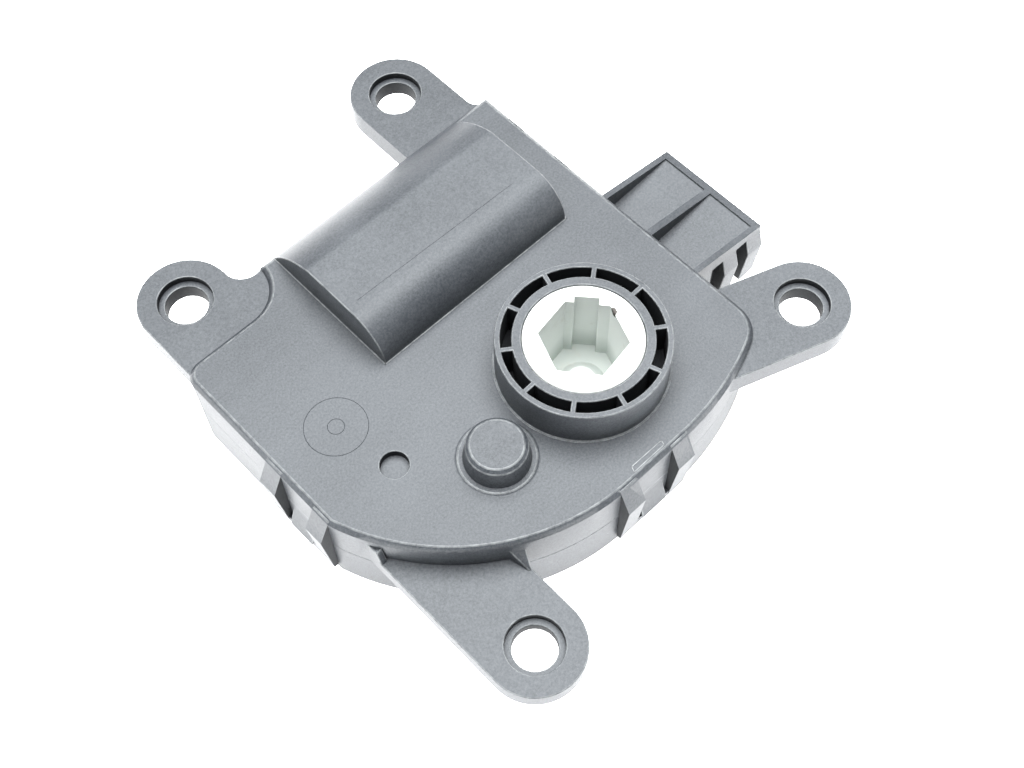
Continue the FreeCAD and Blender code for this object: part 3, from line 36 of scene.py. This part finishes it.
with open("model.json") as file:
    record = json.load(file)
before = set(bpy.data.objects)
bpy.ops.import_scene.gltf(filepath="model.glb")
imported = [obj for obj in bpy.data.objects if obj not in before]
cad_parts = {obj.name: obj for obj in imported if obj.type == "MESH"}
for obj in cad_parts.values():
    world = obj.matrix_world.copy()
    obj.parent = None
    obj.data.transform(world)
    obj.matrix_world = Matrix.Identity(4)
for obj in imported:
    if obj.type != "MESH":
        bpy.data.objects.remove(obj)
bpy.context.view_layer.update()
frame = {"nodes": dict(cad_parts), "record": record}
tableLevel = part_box("lower_housing")[0].z
print("frame loaded:", len(frame["nodes"]), "nodes")


# Materials. In the looks a noise is features per metre, detail, roughness and, where it is
# drawn out, a stretch. A range is what is read from a noise as none and as all

def newMaterial(name):
    material = bpy.data.materials.new(name)
    material.use_nodes = True
    tree = material.node_tree
    return material, tree, tree.nodes["Principled BSDF"]


def addNode(tree, kind, **values):
    # each value is set on the input of that name, or else on the node
    node = tree.nodes.new(kind)
    for name, value in values.items():
        if name in node.inputs:
            node.inputs[name].default_value = value
        else:
            setattr(node, name, value)
    return node


def noise(tree, scale, detail, roughness, stretch=(1, 1, 1)):
    # on the piece's own coordinates
    coords = addNode(tree, "ShaderNodeTexCoord")
    mapping = addNode(tree, "ShaderNodeMapping", Scale=stretch)
    tree.links.new(coords.outputs["Object"], mapping.inputs["Vector"])
    texture = addNode(tree, "ShaderNodeTexNoise",
                      Scale=scale, Detail=detail, Roughness=roughness)
    tree.links.new(mapping.outputs["Vector"], texture.inputs["Vector"])
    return texture.outputs["Fac"]


def remap(tree, value, fromRange, toRange=(0, 1)):
    spread = addNode(tree, "ShaderNodeMapRange")
    tree.links.new(value, spread.inputs["Value"])
    for name, number in zip(("From Min", "From Max", "To Min", "To Max"),
                            (*fromRange, *toRange)):
        spread.inputs[name].default_value = number
    return spread.outputs["Result"]


# the Mix node's sockets by place: first input, second input, result
mixNumbers = (2, 3, 0)
mixColours = (6, 7, 2)


def blendNumbers(tree, factor, first, second):
    mix = addNode(tree, "ShaderNodeMix")
    firstInput, secondInput, result = mixNumbers
    tree.links.new(factor, mix.inputs["Factor"])
    tree.links.new(first, mix.inputs[firstInput])
    mix.inputs[secondInput].default_value = second
    return mix.outputs[result]


def blendColours(tree, factor, first, second):
    # first is a colour or another blend
    mix = addNode(tree, "ShaderNodeMix", data_type="RGBA")
    firstInput, secondInput, result = mixColours
    tree.links.new(factor, mix.inputs["Factor"])
    if isinstance(first, tuple):
        mix.inputs[firstInput].default_value = (*first, 1)
    else:
        tree.links.new(first, mix.inputs[firstInput])
    mix.inputs[secondInput].default_value = (*second, 1)
    return mix.outputs[result]


def multiplyAdd(tree, value, factor, addend):
    node = addNode(tree, "ShaderNodeMath", operation="MULTIPLY_ADD")
    tree.links.new(value, node.inputs[0])
    node.inputs[1].default_value = factor
    tree.links.new(addend, node.inputs[2])
    return node.outputs[0]


def bump(tree, shader, height, depth, strength=1.0):
    node = addNode(tree, "ShaderNodeBump", Strength=strength, Distance=depth * mm)
    tree.links.new(height, node.inputs["Height"])
    tree.links.new(node.outputs["Normal"], shader.inputs["Normal"])


# a face attribute is above zero on rounded edges, where noise makes it patchy, and there it is
# partly wear and partly a painted highlight; on the first mould lines it is a painted highlight.
# It takes this mark as painted shade on faces in grooves, bores and slots and beside the latches
paintedShadeMark = -1
wearAndPaintedLightLook = {
    "patches": (900, 5, 0.6),
    "patchRange": (0.35, 0.65),
    "leastWear": 0.25,
    "paintedShadeRange": (-0.1, paintedShadeMark),
}


def wearAndPaintedLightMarks(tree):
    # the edges' wear with a painted highlight, and the painted shade
    mark = addNode(tree, "ShaderNodeAttribute", attribute_name="wearAndPaintedLight")
    patches = remap(tree, noise(tree, *wearAndPaintedLightLook["patches"]), wearAndPaintedLightLook["patchRange"],
                    (wearAndPaintedLightLook["leastWear"], 1))
    edge = addNode(tree, "ShaderNodeMath", operation="MULTIPLY", use_clamp=True)
    tree.links.new(mark.outputs["Fac"], edge.inputs[0])
    tree.links.new(patches, edge.inputs[1])
    return edge.outputs[0], remap(tree, mark.outputs["Fac"], wearAndPaintedLightLook["paintedShadeRange"])


housingLook = {
    "dark": (0.008, 0.011, 0.016),
    "light": (0.092, 0.100, 0.110),
    "clouds": (45, 6, 0.6),
    "flow": (160, 5, 0.65, (0.25, 1.0, 1.0)),
    "grain": (3600, 4, 0.8),
    "flowWeight": 0.45,     # beside the clouds' 1
    "grainWeight": 1.5,
    "toneRange": (1.03, 1.92),
    "speck": (0.14, 0.15, 0.16),
    "specks": (1300, 2, 0.5),
    "speckRange": (0.78, 0.83),
    # lighter colour: on rounded edges partly wear and partly a painted highlight, on the first
    # mould lines a painted highlight
    "wornAndHighlight": (0.26, 0.275, 0.28),
    # painted shade, near black, on faces in grooves, bores and slots and beside the latches
    "paintedShade": (0.004, 0.005, 0.007),
    "glossFlowWeight": 0.5,
    "glossRange": (0.5, 1.0),
    "roughness": (0.42, 0.52),
    "scuffs": (420, 9, 0.75, (1.0, 0.25, 1.0)),
    "scuffRange": (0.64, 0.70),
    "scuffedRoughness": 0.38,
    "wornRoughness": 0.30,
    "paintedShadeRoughness": 0.75,
    "shineTint": (0.94, 0.98, 1.0),
    "grainDepth": 0.028,
}


def housingPlastic():
    look = housingLook
    material, tree, shader = newMaterial("housing_plastic")
    clouds = noise(tree, *look["clouds"])
    flow = noise(tree, *look["flow"])
    grain = noise(tree, *look["grain"])
    wearAndPaintedLight, paintedShade = wearAndPaintedLightMarks(tree)

    tone = multiplyAdd(tree, flow, look["flowWeight"], clouds)
    tone = multiplyAdd(tree, grain, look["grainWeight"], tone)
    colour = blendColours(tree, remap(tree, tone, look["toneRange"]), look["dark"], look["light"])
    specks = remap(tree, noise(tree, *look["specks"]), look["speckRange"])
    for factor, over in ((specks, "speck"), (wearAndPaintedLight, "wornAndHighlight"), (paintedShade, "paintedShade")):
        colour = blendColours(tree, factor, colour, look[over])
    tree.links.new(colour, shader.inputs["Base Color"])

    gloss = multiplyAdd(tree, flow, look["glossFlowWeight"], clouds)
    roughness = remap(tree, gloss, look["glossRange"], look["roughness"])
    scuffs = remap(tree, noise(tree, *look["scuffs"]), look["scuffRange"])
    for factor, over in ((scuffs, "scuffedRoughness"), (wearAndPaintedLight, "wornRoughness"),
                         (paintedShade, "paintedShadeRoughness")):
        roughness = blendNumbers(tree, factor, roughness, look[over])
    tree.links.new(roughness, shader.inputs["Roughness"])

    shader.inputs["Specular Tint"].default_value = (*look["shineTint"], 1)
    bump(tree, shader, grain, look["grainDepth"])
    return material


hubLook = {
    "clean": (0.70, 0.73, 0.71),
    "deep": (0.48, 0.52, 0.495),        # painted shade at the bottom of the socket
    "deepLevels": (-4.6, -1.5),
    "soiled": (0.48, 0.46, 0.41),
    "stains": (240, 8, 0.7),
    "stainRange": (0.60, 0.74),
    "mostStained": 0.5,
    "dirt": (0.035, 0.028, 0.022),      # a ragged chip at the socket's mouth
    "dirtPlace": (4.86, 0.14, 5.45),
    "dirtSize": 0.80,
    "dirtFade": 0.06,
    "rags": (3500, 3, 0.6),
    "ragDepth": 0.5,
    "glossRange": (0.3, 0.7),
    "roughness": (0.45, 0.60),
    "lightInside": 0.15,
    "lightReach": (0.6, 0.6, 0.5),
    "grain": (1800, 2, 0.5),
    "grainDepth": 0.01,
    "grainStrength": 0.4,
}


def hubPlastic():
    look = hubLook
    material, tree, shader = newMaterial("hub_plastic")
    coords = addNode(tree, "ShaderNodeTexCoord")
    stains = noise(tree, *look["stains"])

    place = addNode(tree, "ShaderNodeSeparateXYZ")
    tree.links.new(coords.outputs["Object"], place.inputs[0])
    # painted shade: darker towards the bottom of the socket
    height = remap(tree, place.outputs["Z"], [level * mm for level in look["deepLevels"]])
    colour = blendColours(tree, height, look["deep"], look["clean"])
    soiled = remap(tree, stains, look["stainRange"], (0, look["mostStained"]))
    colour = blendColours(tree, soiled, colour, look["soiled"])

    away = addNode(tree, "ShaderNodeVectorMath", operation="DISTANCE")
    tree.links.new(coords.outputs["Object"], away.inputs[0])
    away.inputs[1].default_value = Vector(look["dirtPlace"]) * mm
    ragged = multiplyAdd(tree, noise(tree, *look["rags"]), look["ragDepth"] * mm,
                         away.outputs["Value"])
    edge = look["dirtSize"] * mm
    dirty = remap(tree, ragged, (edge, edge + look["dirtFade"] * mm), (1, 0))
    colour = blendColours(tree, dirty, colour, look["dirt"])
    tree.links.new(colour, shader.inputs["Base Color"])

    roughness = remap(tree, stains, look["glossRange"], look["roughness"])
    tree.links.new(roughness, shader.inputs["Roughness"])
    shader.inputs["Subsurface Weight"].default_value = look["lightInside"]
    shader.inputs["Subsurface Radius"].default_value = [reach * mm for reach in look["lightReach"]]
    bump(tree, shader, noise(tree, *look["grain"]), look["grainDepth"], look["grainStrength"])
    return material


plasticLook = {
    "tone": (300, 5, 0.6),
    "grain": (2500, 2, 0.5),
    "grainDepth": 0.01,
    "grainStrength": 0.4,
}


def plainPlastic(name, colour, darker, roughness):
    look = plasticLook
    material, tree, shader = newMaterial(name)
    tone = noise(tree, *look["tone"])
    tree.links.new(blendColours(tree, tone, darker, colour), shader.inputs["Base Color"])
    shader.inputs["Roughness"].default_value = roughness
    bump(tree, shader, noise(tree, *look["grain"]), look["grainDepth"], look["grainStrength"])
    return material


metalLook = {
    "streaks": (900, 6, 0.7),
    "streakRange": (0.3, 0.7),
    "smoother": 0.08,
    "rougher": 0.1,
    "streakDepth": 0.01,
    "streakStrength": 0.3,
}


def metal(name, colour, darker, roughness, stretch=(1, 1, 1)):
    look = metalLook
    material, tree, shader = newMaterial(name)
    streaks = noise(tree, *look["streaks"], stretch)
    tree.links.new(blendColours(tree, streaks, darker, colour), shader.inputs["Base Color"])
    shader.inputs["Metallic"].default_value = 1.0
    rough = remap(tree, streaks, look["streakRange"],
                  (roughness - look["smoother"], roughness + look["rougher"]))
    tree.links.new(rough, shader.inputs["Roughness"])
    bump(tree, shader, streaks, look["streakDepth"], look["streakStrength"])
    return material


# colour, darker colour, roughness
plastics = {
    "gear_plastic": ((0.80, 0.80, 0.74), (0.72, 0.72, 0.66), 0.4),
    "cap_plastic": ((0.72, 0.72, 0.68), (0.62, 0.62, 0.58), 0.45),
    "magnet": ((0.060, 0.060, 0.065), (0.035, 0.035, 0.04), 0.5),
    "damping_rubber": ((0.035, 0.035, 0.035), (0.02, 0.02, 0.02), 0.8),
    "board_laminate": ((0.05, 0.20, 0.09), (0.03, 0.13, 0.06), 0.3),
    "track_film": ((0.03, 0.03, 0.032), (0.02, 0.02, 0.02), 0.35),
}
# the same, and the stretch of the streaks
metals = {
    "pin_steel": ((0.62, 0.62, 0.63), (0.48, 0.48, 0.50), 0.25, (0.1, 1, 1)),
    "motor_steel": ((0.58, 0.59, 0.60), (0.44, 0.45, 0.47), 0.35, (0.2, 1, 1)),
    "core_steel": ((0.36, 0.36, 0.37), (0.22, 0.22, 0.23), 0.45, (6, 0.2, 0.2)),
    "copper": ((0.72, 0.34, 0.18), (0.52, 0.22, 0.10), 0.3, (8, 1, 1)),
    "worm_brass": ((0.78, 0.60, 0.28), (0.62, 0.45, 0.20), 0.28),
    "tinned_brass": ((0.74, 0.72, 0.66), (0.60, 0.58, 0.52), 0.25, (0.2, 1, 1)),
}
looks = {"housing_plastic": housingPlastic(), "hub_plastic": hubPlastic()}
looks["lower_plastic"] = looks["housing_plastic"]
looks.update({name: plainPlastic(name, *values) for name, values in plastics.items()})
looks.update({name: metal(name, *values) for name, values in metals.items()})
print("materials made:", len(looks))


# CAD nodes get their finish, by the record's slots
slots = {row["node"]: row["material_slot"] for row in frame["record"]["subparts"]}
for nodeName, cadNode in frame["nodes"].items():
    cadNode.data.materials.clear()
    cadNode.data.materials.append(looks[slots[nodeName]])


# Mouldings: a merged copy of the solid with its edges rounded

moulding = {
    "mergeDistance": 0.004,
    "flatAngle": 0.5,       # faces that meet flatter than this become one
    "sharpAngle": 25,       # outer edges sharper than this are rounded
    "shortEdge": 0.15,      # but not when shorter than this
    "footAngle": 30,
    "shadeAngle": 27,       # shading breaks at edges sharper than this
    "shadeWeight": 100,
}
plate = {
    "edgeRound": 0.15,
    "edgeSegments": 3,
    # rounded edges coloured lighter, partly wear and partly a painted highlight
    "edgeWearAndHighlight": 0.55,
    "collarRadius": 10.38,
    # left sharp: the lower edge of the plate's bevel, the upright corner beside the motor
    # cover, and what meets the back wall above this level
    "bevelFoot": -0.6,
    "backCorner": (19.3, 37.2),
    "backFoot": -1.1,
    # beyond these walls, in these ranges, all is latch
    "leftWall": -35.15,
    "frontWall": -15.15,
    "frontLatch": (-9.2, 5),
    "rightWall": 19.35,
    "rightLatchStart": 16.5,
    # where the painted shade lies
    "grooveRadii": (8.2, 9.8),
    "grooveLevels": (0.5, 5.2),
    "recessCentre": (-24.9, 5.4),
    "recessRadius": 1.8,
    "recessLevels": (-1.05, -0.05),
    "ears": ((11.55, 46.55), (-28.44, 39.96), (25.54, -12.37), (-27.26, -20.08)),
    "earBore": 3.5,
    "plugSlotStart": 22.0,
    "plugSlotDepths": (-0.79, 0.4),
    # how far a wall in an ear may lean, and a latch's side, and how squarely that side faces
    "boreLean": 0.3,
    "latchLean": 0.5,
    "latchFacing": 0.6,
}
hub = {
    "edgeRound": 0.08,
    "edgeSegments": 2,
    "rimRadius": 7.16,
    "rimHeight": 5.64,
    "rimRound": 0.26,
    "rimSegments": 4,
}


def near(value, target, tolerance=0.02):
    # a length in metres against one in millimetres
    return abs(value - target * mm) < tolerance * mm


def nearAxis(co, radius):
    return near(math.hypot(co.x, co.y), radius)


def within(value, limits):
    low, high = limits
    return low < value < high


def mergedCopy(node):
    bm = bmesh.new()
    bm.from_mesh(frame["nodes"][node].data)
    bmesh.ops.remove_doubles(bm, verts=bm.verts, dist=moulding["mergeDistance"] * mm)
    bmesh.ops.dissolve_limit(bm, angle_limit=math.radians(moulding["flatAngle"]),
                             verts=bm.verts, edges=bm.edges)
    bm.faces.layers.float.new("wearAndPaintedLight")
    return bm


def markWearAndPaintedLight(bm, faces, wearAndPaintedLight):
    layer = bm.faces.layers.float["wearAndPaintedLight"]
    for face in faces:
        face[layer] = wearAndPaintedLight


def roundEdges(bm, edges, radius, segments, wearAndPaintedLight=0.0):
    rounded = bmesh.ops.bevel(bm, geom=edges, offset=radius * mm, segments=segments,
                              affect="EDGES", profile=0.5, material=-1, clamp_overlap=False)
    markWearAndPaintedLight(bm, rounded["faces"], wearAndPaintedLight)


def outerEdges(bm, spared=lambda edge: False):
    sharp = math.radians(moulding["sharpAngle"])
    return [edge for edge in bm.edges if len(edge.link_faces) == 2 and edge.is_convex
            and edge.calc_length() > moulding["shortEdge"] * mm
            and edge.calc_face_angle() > sharp and not spared(edge)]


def collarFoot(bm):
    # inner corners where the collar stands on the plate
    sharp = math.radians(moulding["footAngle"])
    return [edge for edge in bm.edges if len(edge.link_faces) == 2 and not edge.is_convex
            and edge.calc_face_angle() > sharp
            and all(near(v.co.z, 0) and nearAxis(v.co, plate["collarRadius"])
                    for v in edge.verts)]


def onLatch(co):
    x, y = co.x / mm, co.y / mm
    return (x < plate["leftWall"]
            or y < plate["frontWall"] and within(x, plate["frontLatch"])
            or x > plate["rightWall"] and y > plate["rightLatchStart"])


def staysSharp(edge):
    cornerX, backY = plate["backCorner"]
    places = [v.co for v in edge.verts]
    bevelFoot = any(near(co.z, plate["bevelFoot"]) for co in places)
    corner = all(near(co.x, cornerX) and near(co.y, backY) for co in places)
    backFoot = any(near(co.y, backY) and co.z > plate["backFoot"] * mm for co in places)
    return bevelFoot or corner or backFoot or any(onLatch(co) for co in places)


def paintedShadeFace(face):
    # painted shade: faces in the collar's pockets, the recess, the ears' bores, the plug's slots,
    # and beside latches
    centre, normal = face.calc_center_median(), face.normal
    x, y, z = (value / mm for value in centre)
    inPocket = (within(math.hypot(x, y), plate["grooveRadii"])
                and within(z, plate["grooveLevels"]))
    recessX, recessY = plate["recessCentre"]
    inRecess = (math.hypot(x - recessX, y - recessY) < plate["recessRadius"]
                and within(z, plate["recessLevels"]))
    inEar = any(math.hypot(x - earX, y - earY) < plate["earBore"]
                and abs(normal.z) < plate["boreLean"] for earX, earY in plate["ears"])
    inSlot = x > plate["plugSlotStart"] and within(y, plate["plugSlotDepths"])
    sideways = normal.x if y < plate["frontWall"] else normal.y
    besideLatch = (onLatch(centre) and abs(normal.z) < plate["latchLean"]
                   and abs(sideways) > plate["latchFacing"])
    return inPocket or inRecess or inEar or inSlot or besideLatch


def finishPiece(name, bm, body, slotName, node=None):
    mesh = bpy.data.meshes.new(name)
    bm.to_mesh(mesh)
    bm.free()
    mesh.shade_smooth()
    mesh.set_sharp_from_angle(angle=math.radians(moulding["shadeAngle"]))
    mesh.materials.append(looks[slotName])
    piece = bpy.data.objects.new(name, mesh)
    bpy.context.scene.collection.objects.link(piece)
    even = piece.modifiers.new("EvenShading", "WEIGHTED_NORMAL")    # keeps flat faces flat
    even.mode = "FACE_AREA"
    even.weight = moulding["shadeWeight"]
    even.keep_sharp = True
    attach(piece, body)
    if node:
        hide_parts(node)


def upperHousing():
    bm = mergedCopy("upper_housing")
    feet = collarFoot(bm)
    edges = outerEdges(bm, staysSharp)
    # rounded edges take the lighter colour, partly wear and partly a painted highlight
    roundEdges(bm, edges + feet, plate["edgeRound"], plate["edgeSegments"], plate["edgeWearAndHighlight"])
    # painted shade on faces in the collar's pockets, the recess, the ears' bores, the plug's slots
    # and beside the latches
    markWearAndPaintedLight(bm, filter(paintedShadeFace, bm.faces), paintedShadeMark)
    print("upper housing rounded:", len(edges), "edges,", len(feet), "at the collar's foot")
    finishPiece("UpperHousing", bm, "housing", slots["upper_housing"], "upper_housing")


def lowerHousing():
    bm = mergedCopy("lower_housing")
    # rounded edges take the lighter colour, partly wear and partly a painted highlight
    roundEdges(bm, outerEdges(bm), plate["edgeRound"], plate["edgeSegments"], plate["edgeWearAndHighlight"])
    finishPiece("LowerHousing", bm, "housing", slots["lower_housing"], "lower_housing")


def outputHub():
    bm = mergedCopy("output_gear")
    rim = [edge for edge in bm.edges
           if all(near(v.co.z, hub["rimHeight"]) and nearAxis(v.co, hub["rimRadius"])
                  for v in edge.verts)]
    roundEdges(bm, rim, hub["rimRound"], hub["rimSegments"])
    roundEdges(bm, outerEdges(bm), hub["edgeRound"], hub["edgeSegments"])
    finishPiece("OutputHub", bm, "output", slots["output_gear"], "output_gear")


upperHousing()
lowerHousing()
outputHub()
print("mouldings finished")


# Lines that the mould leaves on the plate, with the foot of each sunk a little into it

mouldMarks = {
    "sink": 0.02,
    "lineWidth": 0.15,
    "fineWidth": 0.09,
    "lineHeight": 0.05,
    # the first mould lines are coloured light all over, a painted highlight
    "paintedLineHighlight": 1.0,
    "collarFoot": 10.62,
    "coverFoot": ((-16.95, 36.6), (-16.95, 15.95), (13.15, 15.95), (13.15, 36.6)),
    "insert": ((-5.90, -14.24), (-0.94, -14.20), (-0.84, -13.62), (-5.66, -13.57),
               (-5.90, -14.24)),
    "crease": ((-15.2, 22.25), (9.5, 21.75)),   # on the cover's crest
    "creaseLevel": 5.15,
    "clockCentre": (-26.53, 13.70),
    "clockRadii": (3.78, 1.0),
    "clockWidth": 0.12,
    "clockHeight": 0.055,
    "ringSteps": 72,
}


def addRingLine(bm, centre, radius, width, height):
    # a triangular ridge round the centre
    x, y = centre
    section = [bm.verts.new((x + radius + across * width / 2, y, level))
               for across, level in ((-1, -mouldMarks["sink"]), (0, height),
                                     (1, -mouldMarks["sink"]))]
    lines = [bm.edges.new(pair) for pair in zip(section, section[1:] + section[:1])]
    bmesh.ops.spin(bm, geom=section + lines, cent=(x, y, 0), axis=(0, 0, 1),
                   angle=math.tau, steps=mouldMarks["ringSteps"], use_merge=True)


def addStraightLine(bm, start, end, width, level=0.0):
    # a low bar
    run = Vector(end) - Vector(start)
    middle = (Vector(start) + Vector(end)) / 2
    height = mouldMarks["lineHeight"] + mouldMarks["sink"]
    place = (Matrix.Translation((*middle, level + height / 2 - mouldMarks["sink"]))
             @ Matrix.Rotation(math.atan2(run.y, run.x), 4, "Z")
             @ Matrix.Diagonal((run.length + width, width, height, 1)))
    bmesh.ops.create_cube(bm, size=1, matrix=place)


def mouldLines():
    marks = mouldMarks
    bm = bmesh.new()
    bm.faces.layers.float.new("wearAndPaintedLight")
    addRingLine(bm, (0, 0), marks["collarFoot"], marks["lineWidth"], marks["lineHeight"])
    for corners, width in ((marks["insert"], marks["fineWidth"]),
                           (marks["coverFoot"], marks["lineWidth"])):
        for start, end in zip(corners, corners[1:]):
            addStraightLine(bm, start, end, width)
    # the lines so far are coloured light as a painted highlight, those that follow aren't
    markWearAndPaintedLight(bm, bm.faces, marks["paintedLineHighlight"])
    for radius in marks["clockRadii"]:
        addRingLine(bm, marks["clockCentre"], radius, marks["clockWidth"], marks["clockHeight"])
    addStraightLine(bm, *marks["crease"], marks["fineWidth"], marks["creaseLevel"])
    bmesh.ops.scale(bm, vec=(mm, mm, mm), verts=bm.verts)
    bmesh.ops.recalc_face_normals(bm, faces=bm.faces)
    finishPiece("MouldLines", bm, "housing", "housing_plastic")


mouldLines()
print("mould lines set")


# Stage, light and camera

# in metres and watts
studio = {
    "floorColour": (0.93, 0.93, 0.93),
    "floorSize": 1.2,
    "floorRoughness": 0.8,
    "floorGlow": 2.7,
    "skyGlow": 0.22,
    "keyPlace": (0.14, 0.13, 0.86),
    "keySize": 0.95,
    "keyPower": 26.0,
    "fillPlace": (-0.45, 0.25, 0.70),
    "fillSize": 0.6,
    "fillPower": 3.0,
    "white": (1, 1, 1, 1),
}


def floor():
    bm = bmesh.new()
    bmesh.ops.create_grid(bm, x_segments=1, y_segments=1, size=studio["floorSize"])
    bmesh.ops.translate(bm, vec=(0, 0, tableLevel), verts=bm.verts)
    mesh = bpy.data.meshes.new("Floor")
    bm.to_mesh(mesh)
    bm.free()
    sheet = bpy.data.objects.new("Floor", mesh)
    bpy.context.scene.collection.objects.link(sheet)
    material, _, shader = newMaterial("floor_paper")
    shader.inputs["Base Color"].default_value = (*studio["floorColour"], 1)
    shader.inputs["Roughness"].default_value = studio["floorRoughness"]
    shader.inputs["Emission Color"].default_value = studio["white"]
    shader.inputs["Emission Strength"].default_value = studio["floorGlow"]
    mesh.materials.append(material)


def softLight(name, place, size, power):
    data = bpy.data.lights.new(name, "AREA")
    data.shape = "DISK"
    data.size = size
    data.energy = power
    light = bpy.data.objects.new(name, data)
    light.location = place
    light.rotation_euler = (-Vector(place)).to_track_quat("-Z", "Y").to_euler()
    bpy.context.scene.collection.objects.link(light)


def sky():
    world = bpy.data.worlds.new("Studio")
    world.use_nodes = True
    background = world.node_tree.nodes["Background"]
    background.inputs["Color"].default_value = studio["white"]
    background.inputs["Strength"].default_value = studio["skyGlow"]
    bpy.context.scene.world = world
    bpy.context.scene.view_settings.view_transform = "Standard"


floor()
softLight("KeyLight", studio["keyPlace"], studio["keySize"], studio["keyPower"])
softLight("FillLight", studio["fillPlace"], studio["fillSize"], studio["fillPower"])
sky()

# the photograph's view, solved from its points
view = {
    "place": (-62.876, -55.576, 148.448),
    "turn": -42.818,
    "tilt": 28.528,
    "roll": -1.042,
    "lens": 50.64,
    "sensor": 36.0,
    "nearest": 10,
    "farthest": 10000,
}


def photoCamera():
    data = bpy.data.cameras.new("PhotoCamera")
    data.lens = view["lens"]
    data.sensor_width = view["sensor"]
    data.clip_start = view["nearest"] * mm
    data.clip_end = view["farthest"] * mm
    camera = bpy.data.objects.new("PhotoCamera", data)
    camera.matrix_world = (
        Matrix.Translation(Vector(view["place"]) * mm)
        @ Matrix.Rotation(math.radians(view["turn"]), 4, "Z")
        @ Matrix.Rotation(math.radians(view["tilt"]), 4, "X")
        @ Matrix.Rotation(math.radians(view["roll"]), 4, "Z")
    )
    bpy.context.scene.collection.objects.link(camera)
    bpy.context.scene.camera = camera


photoCamera()
print("stage, lights and camera set")
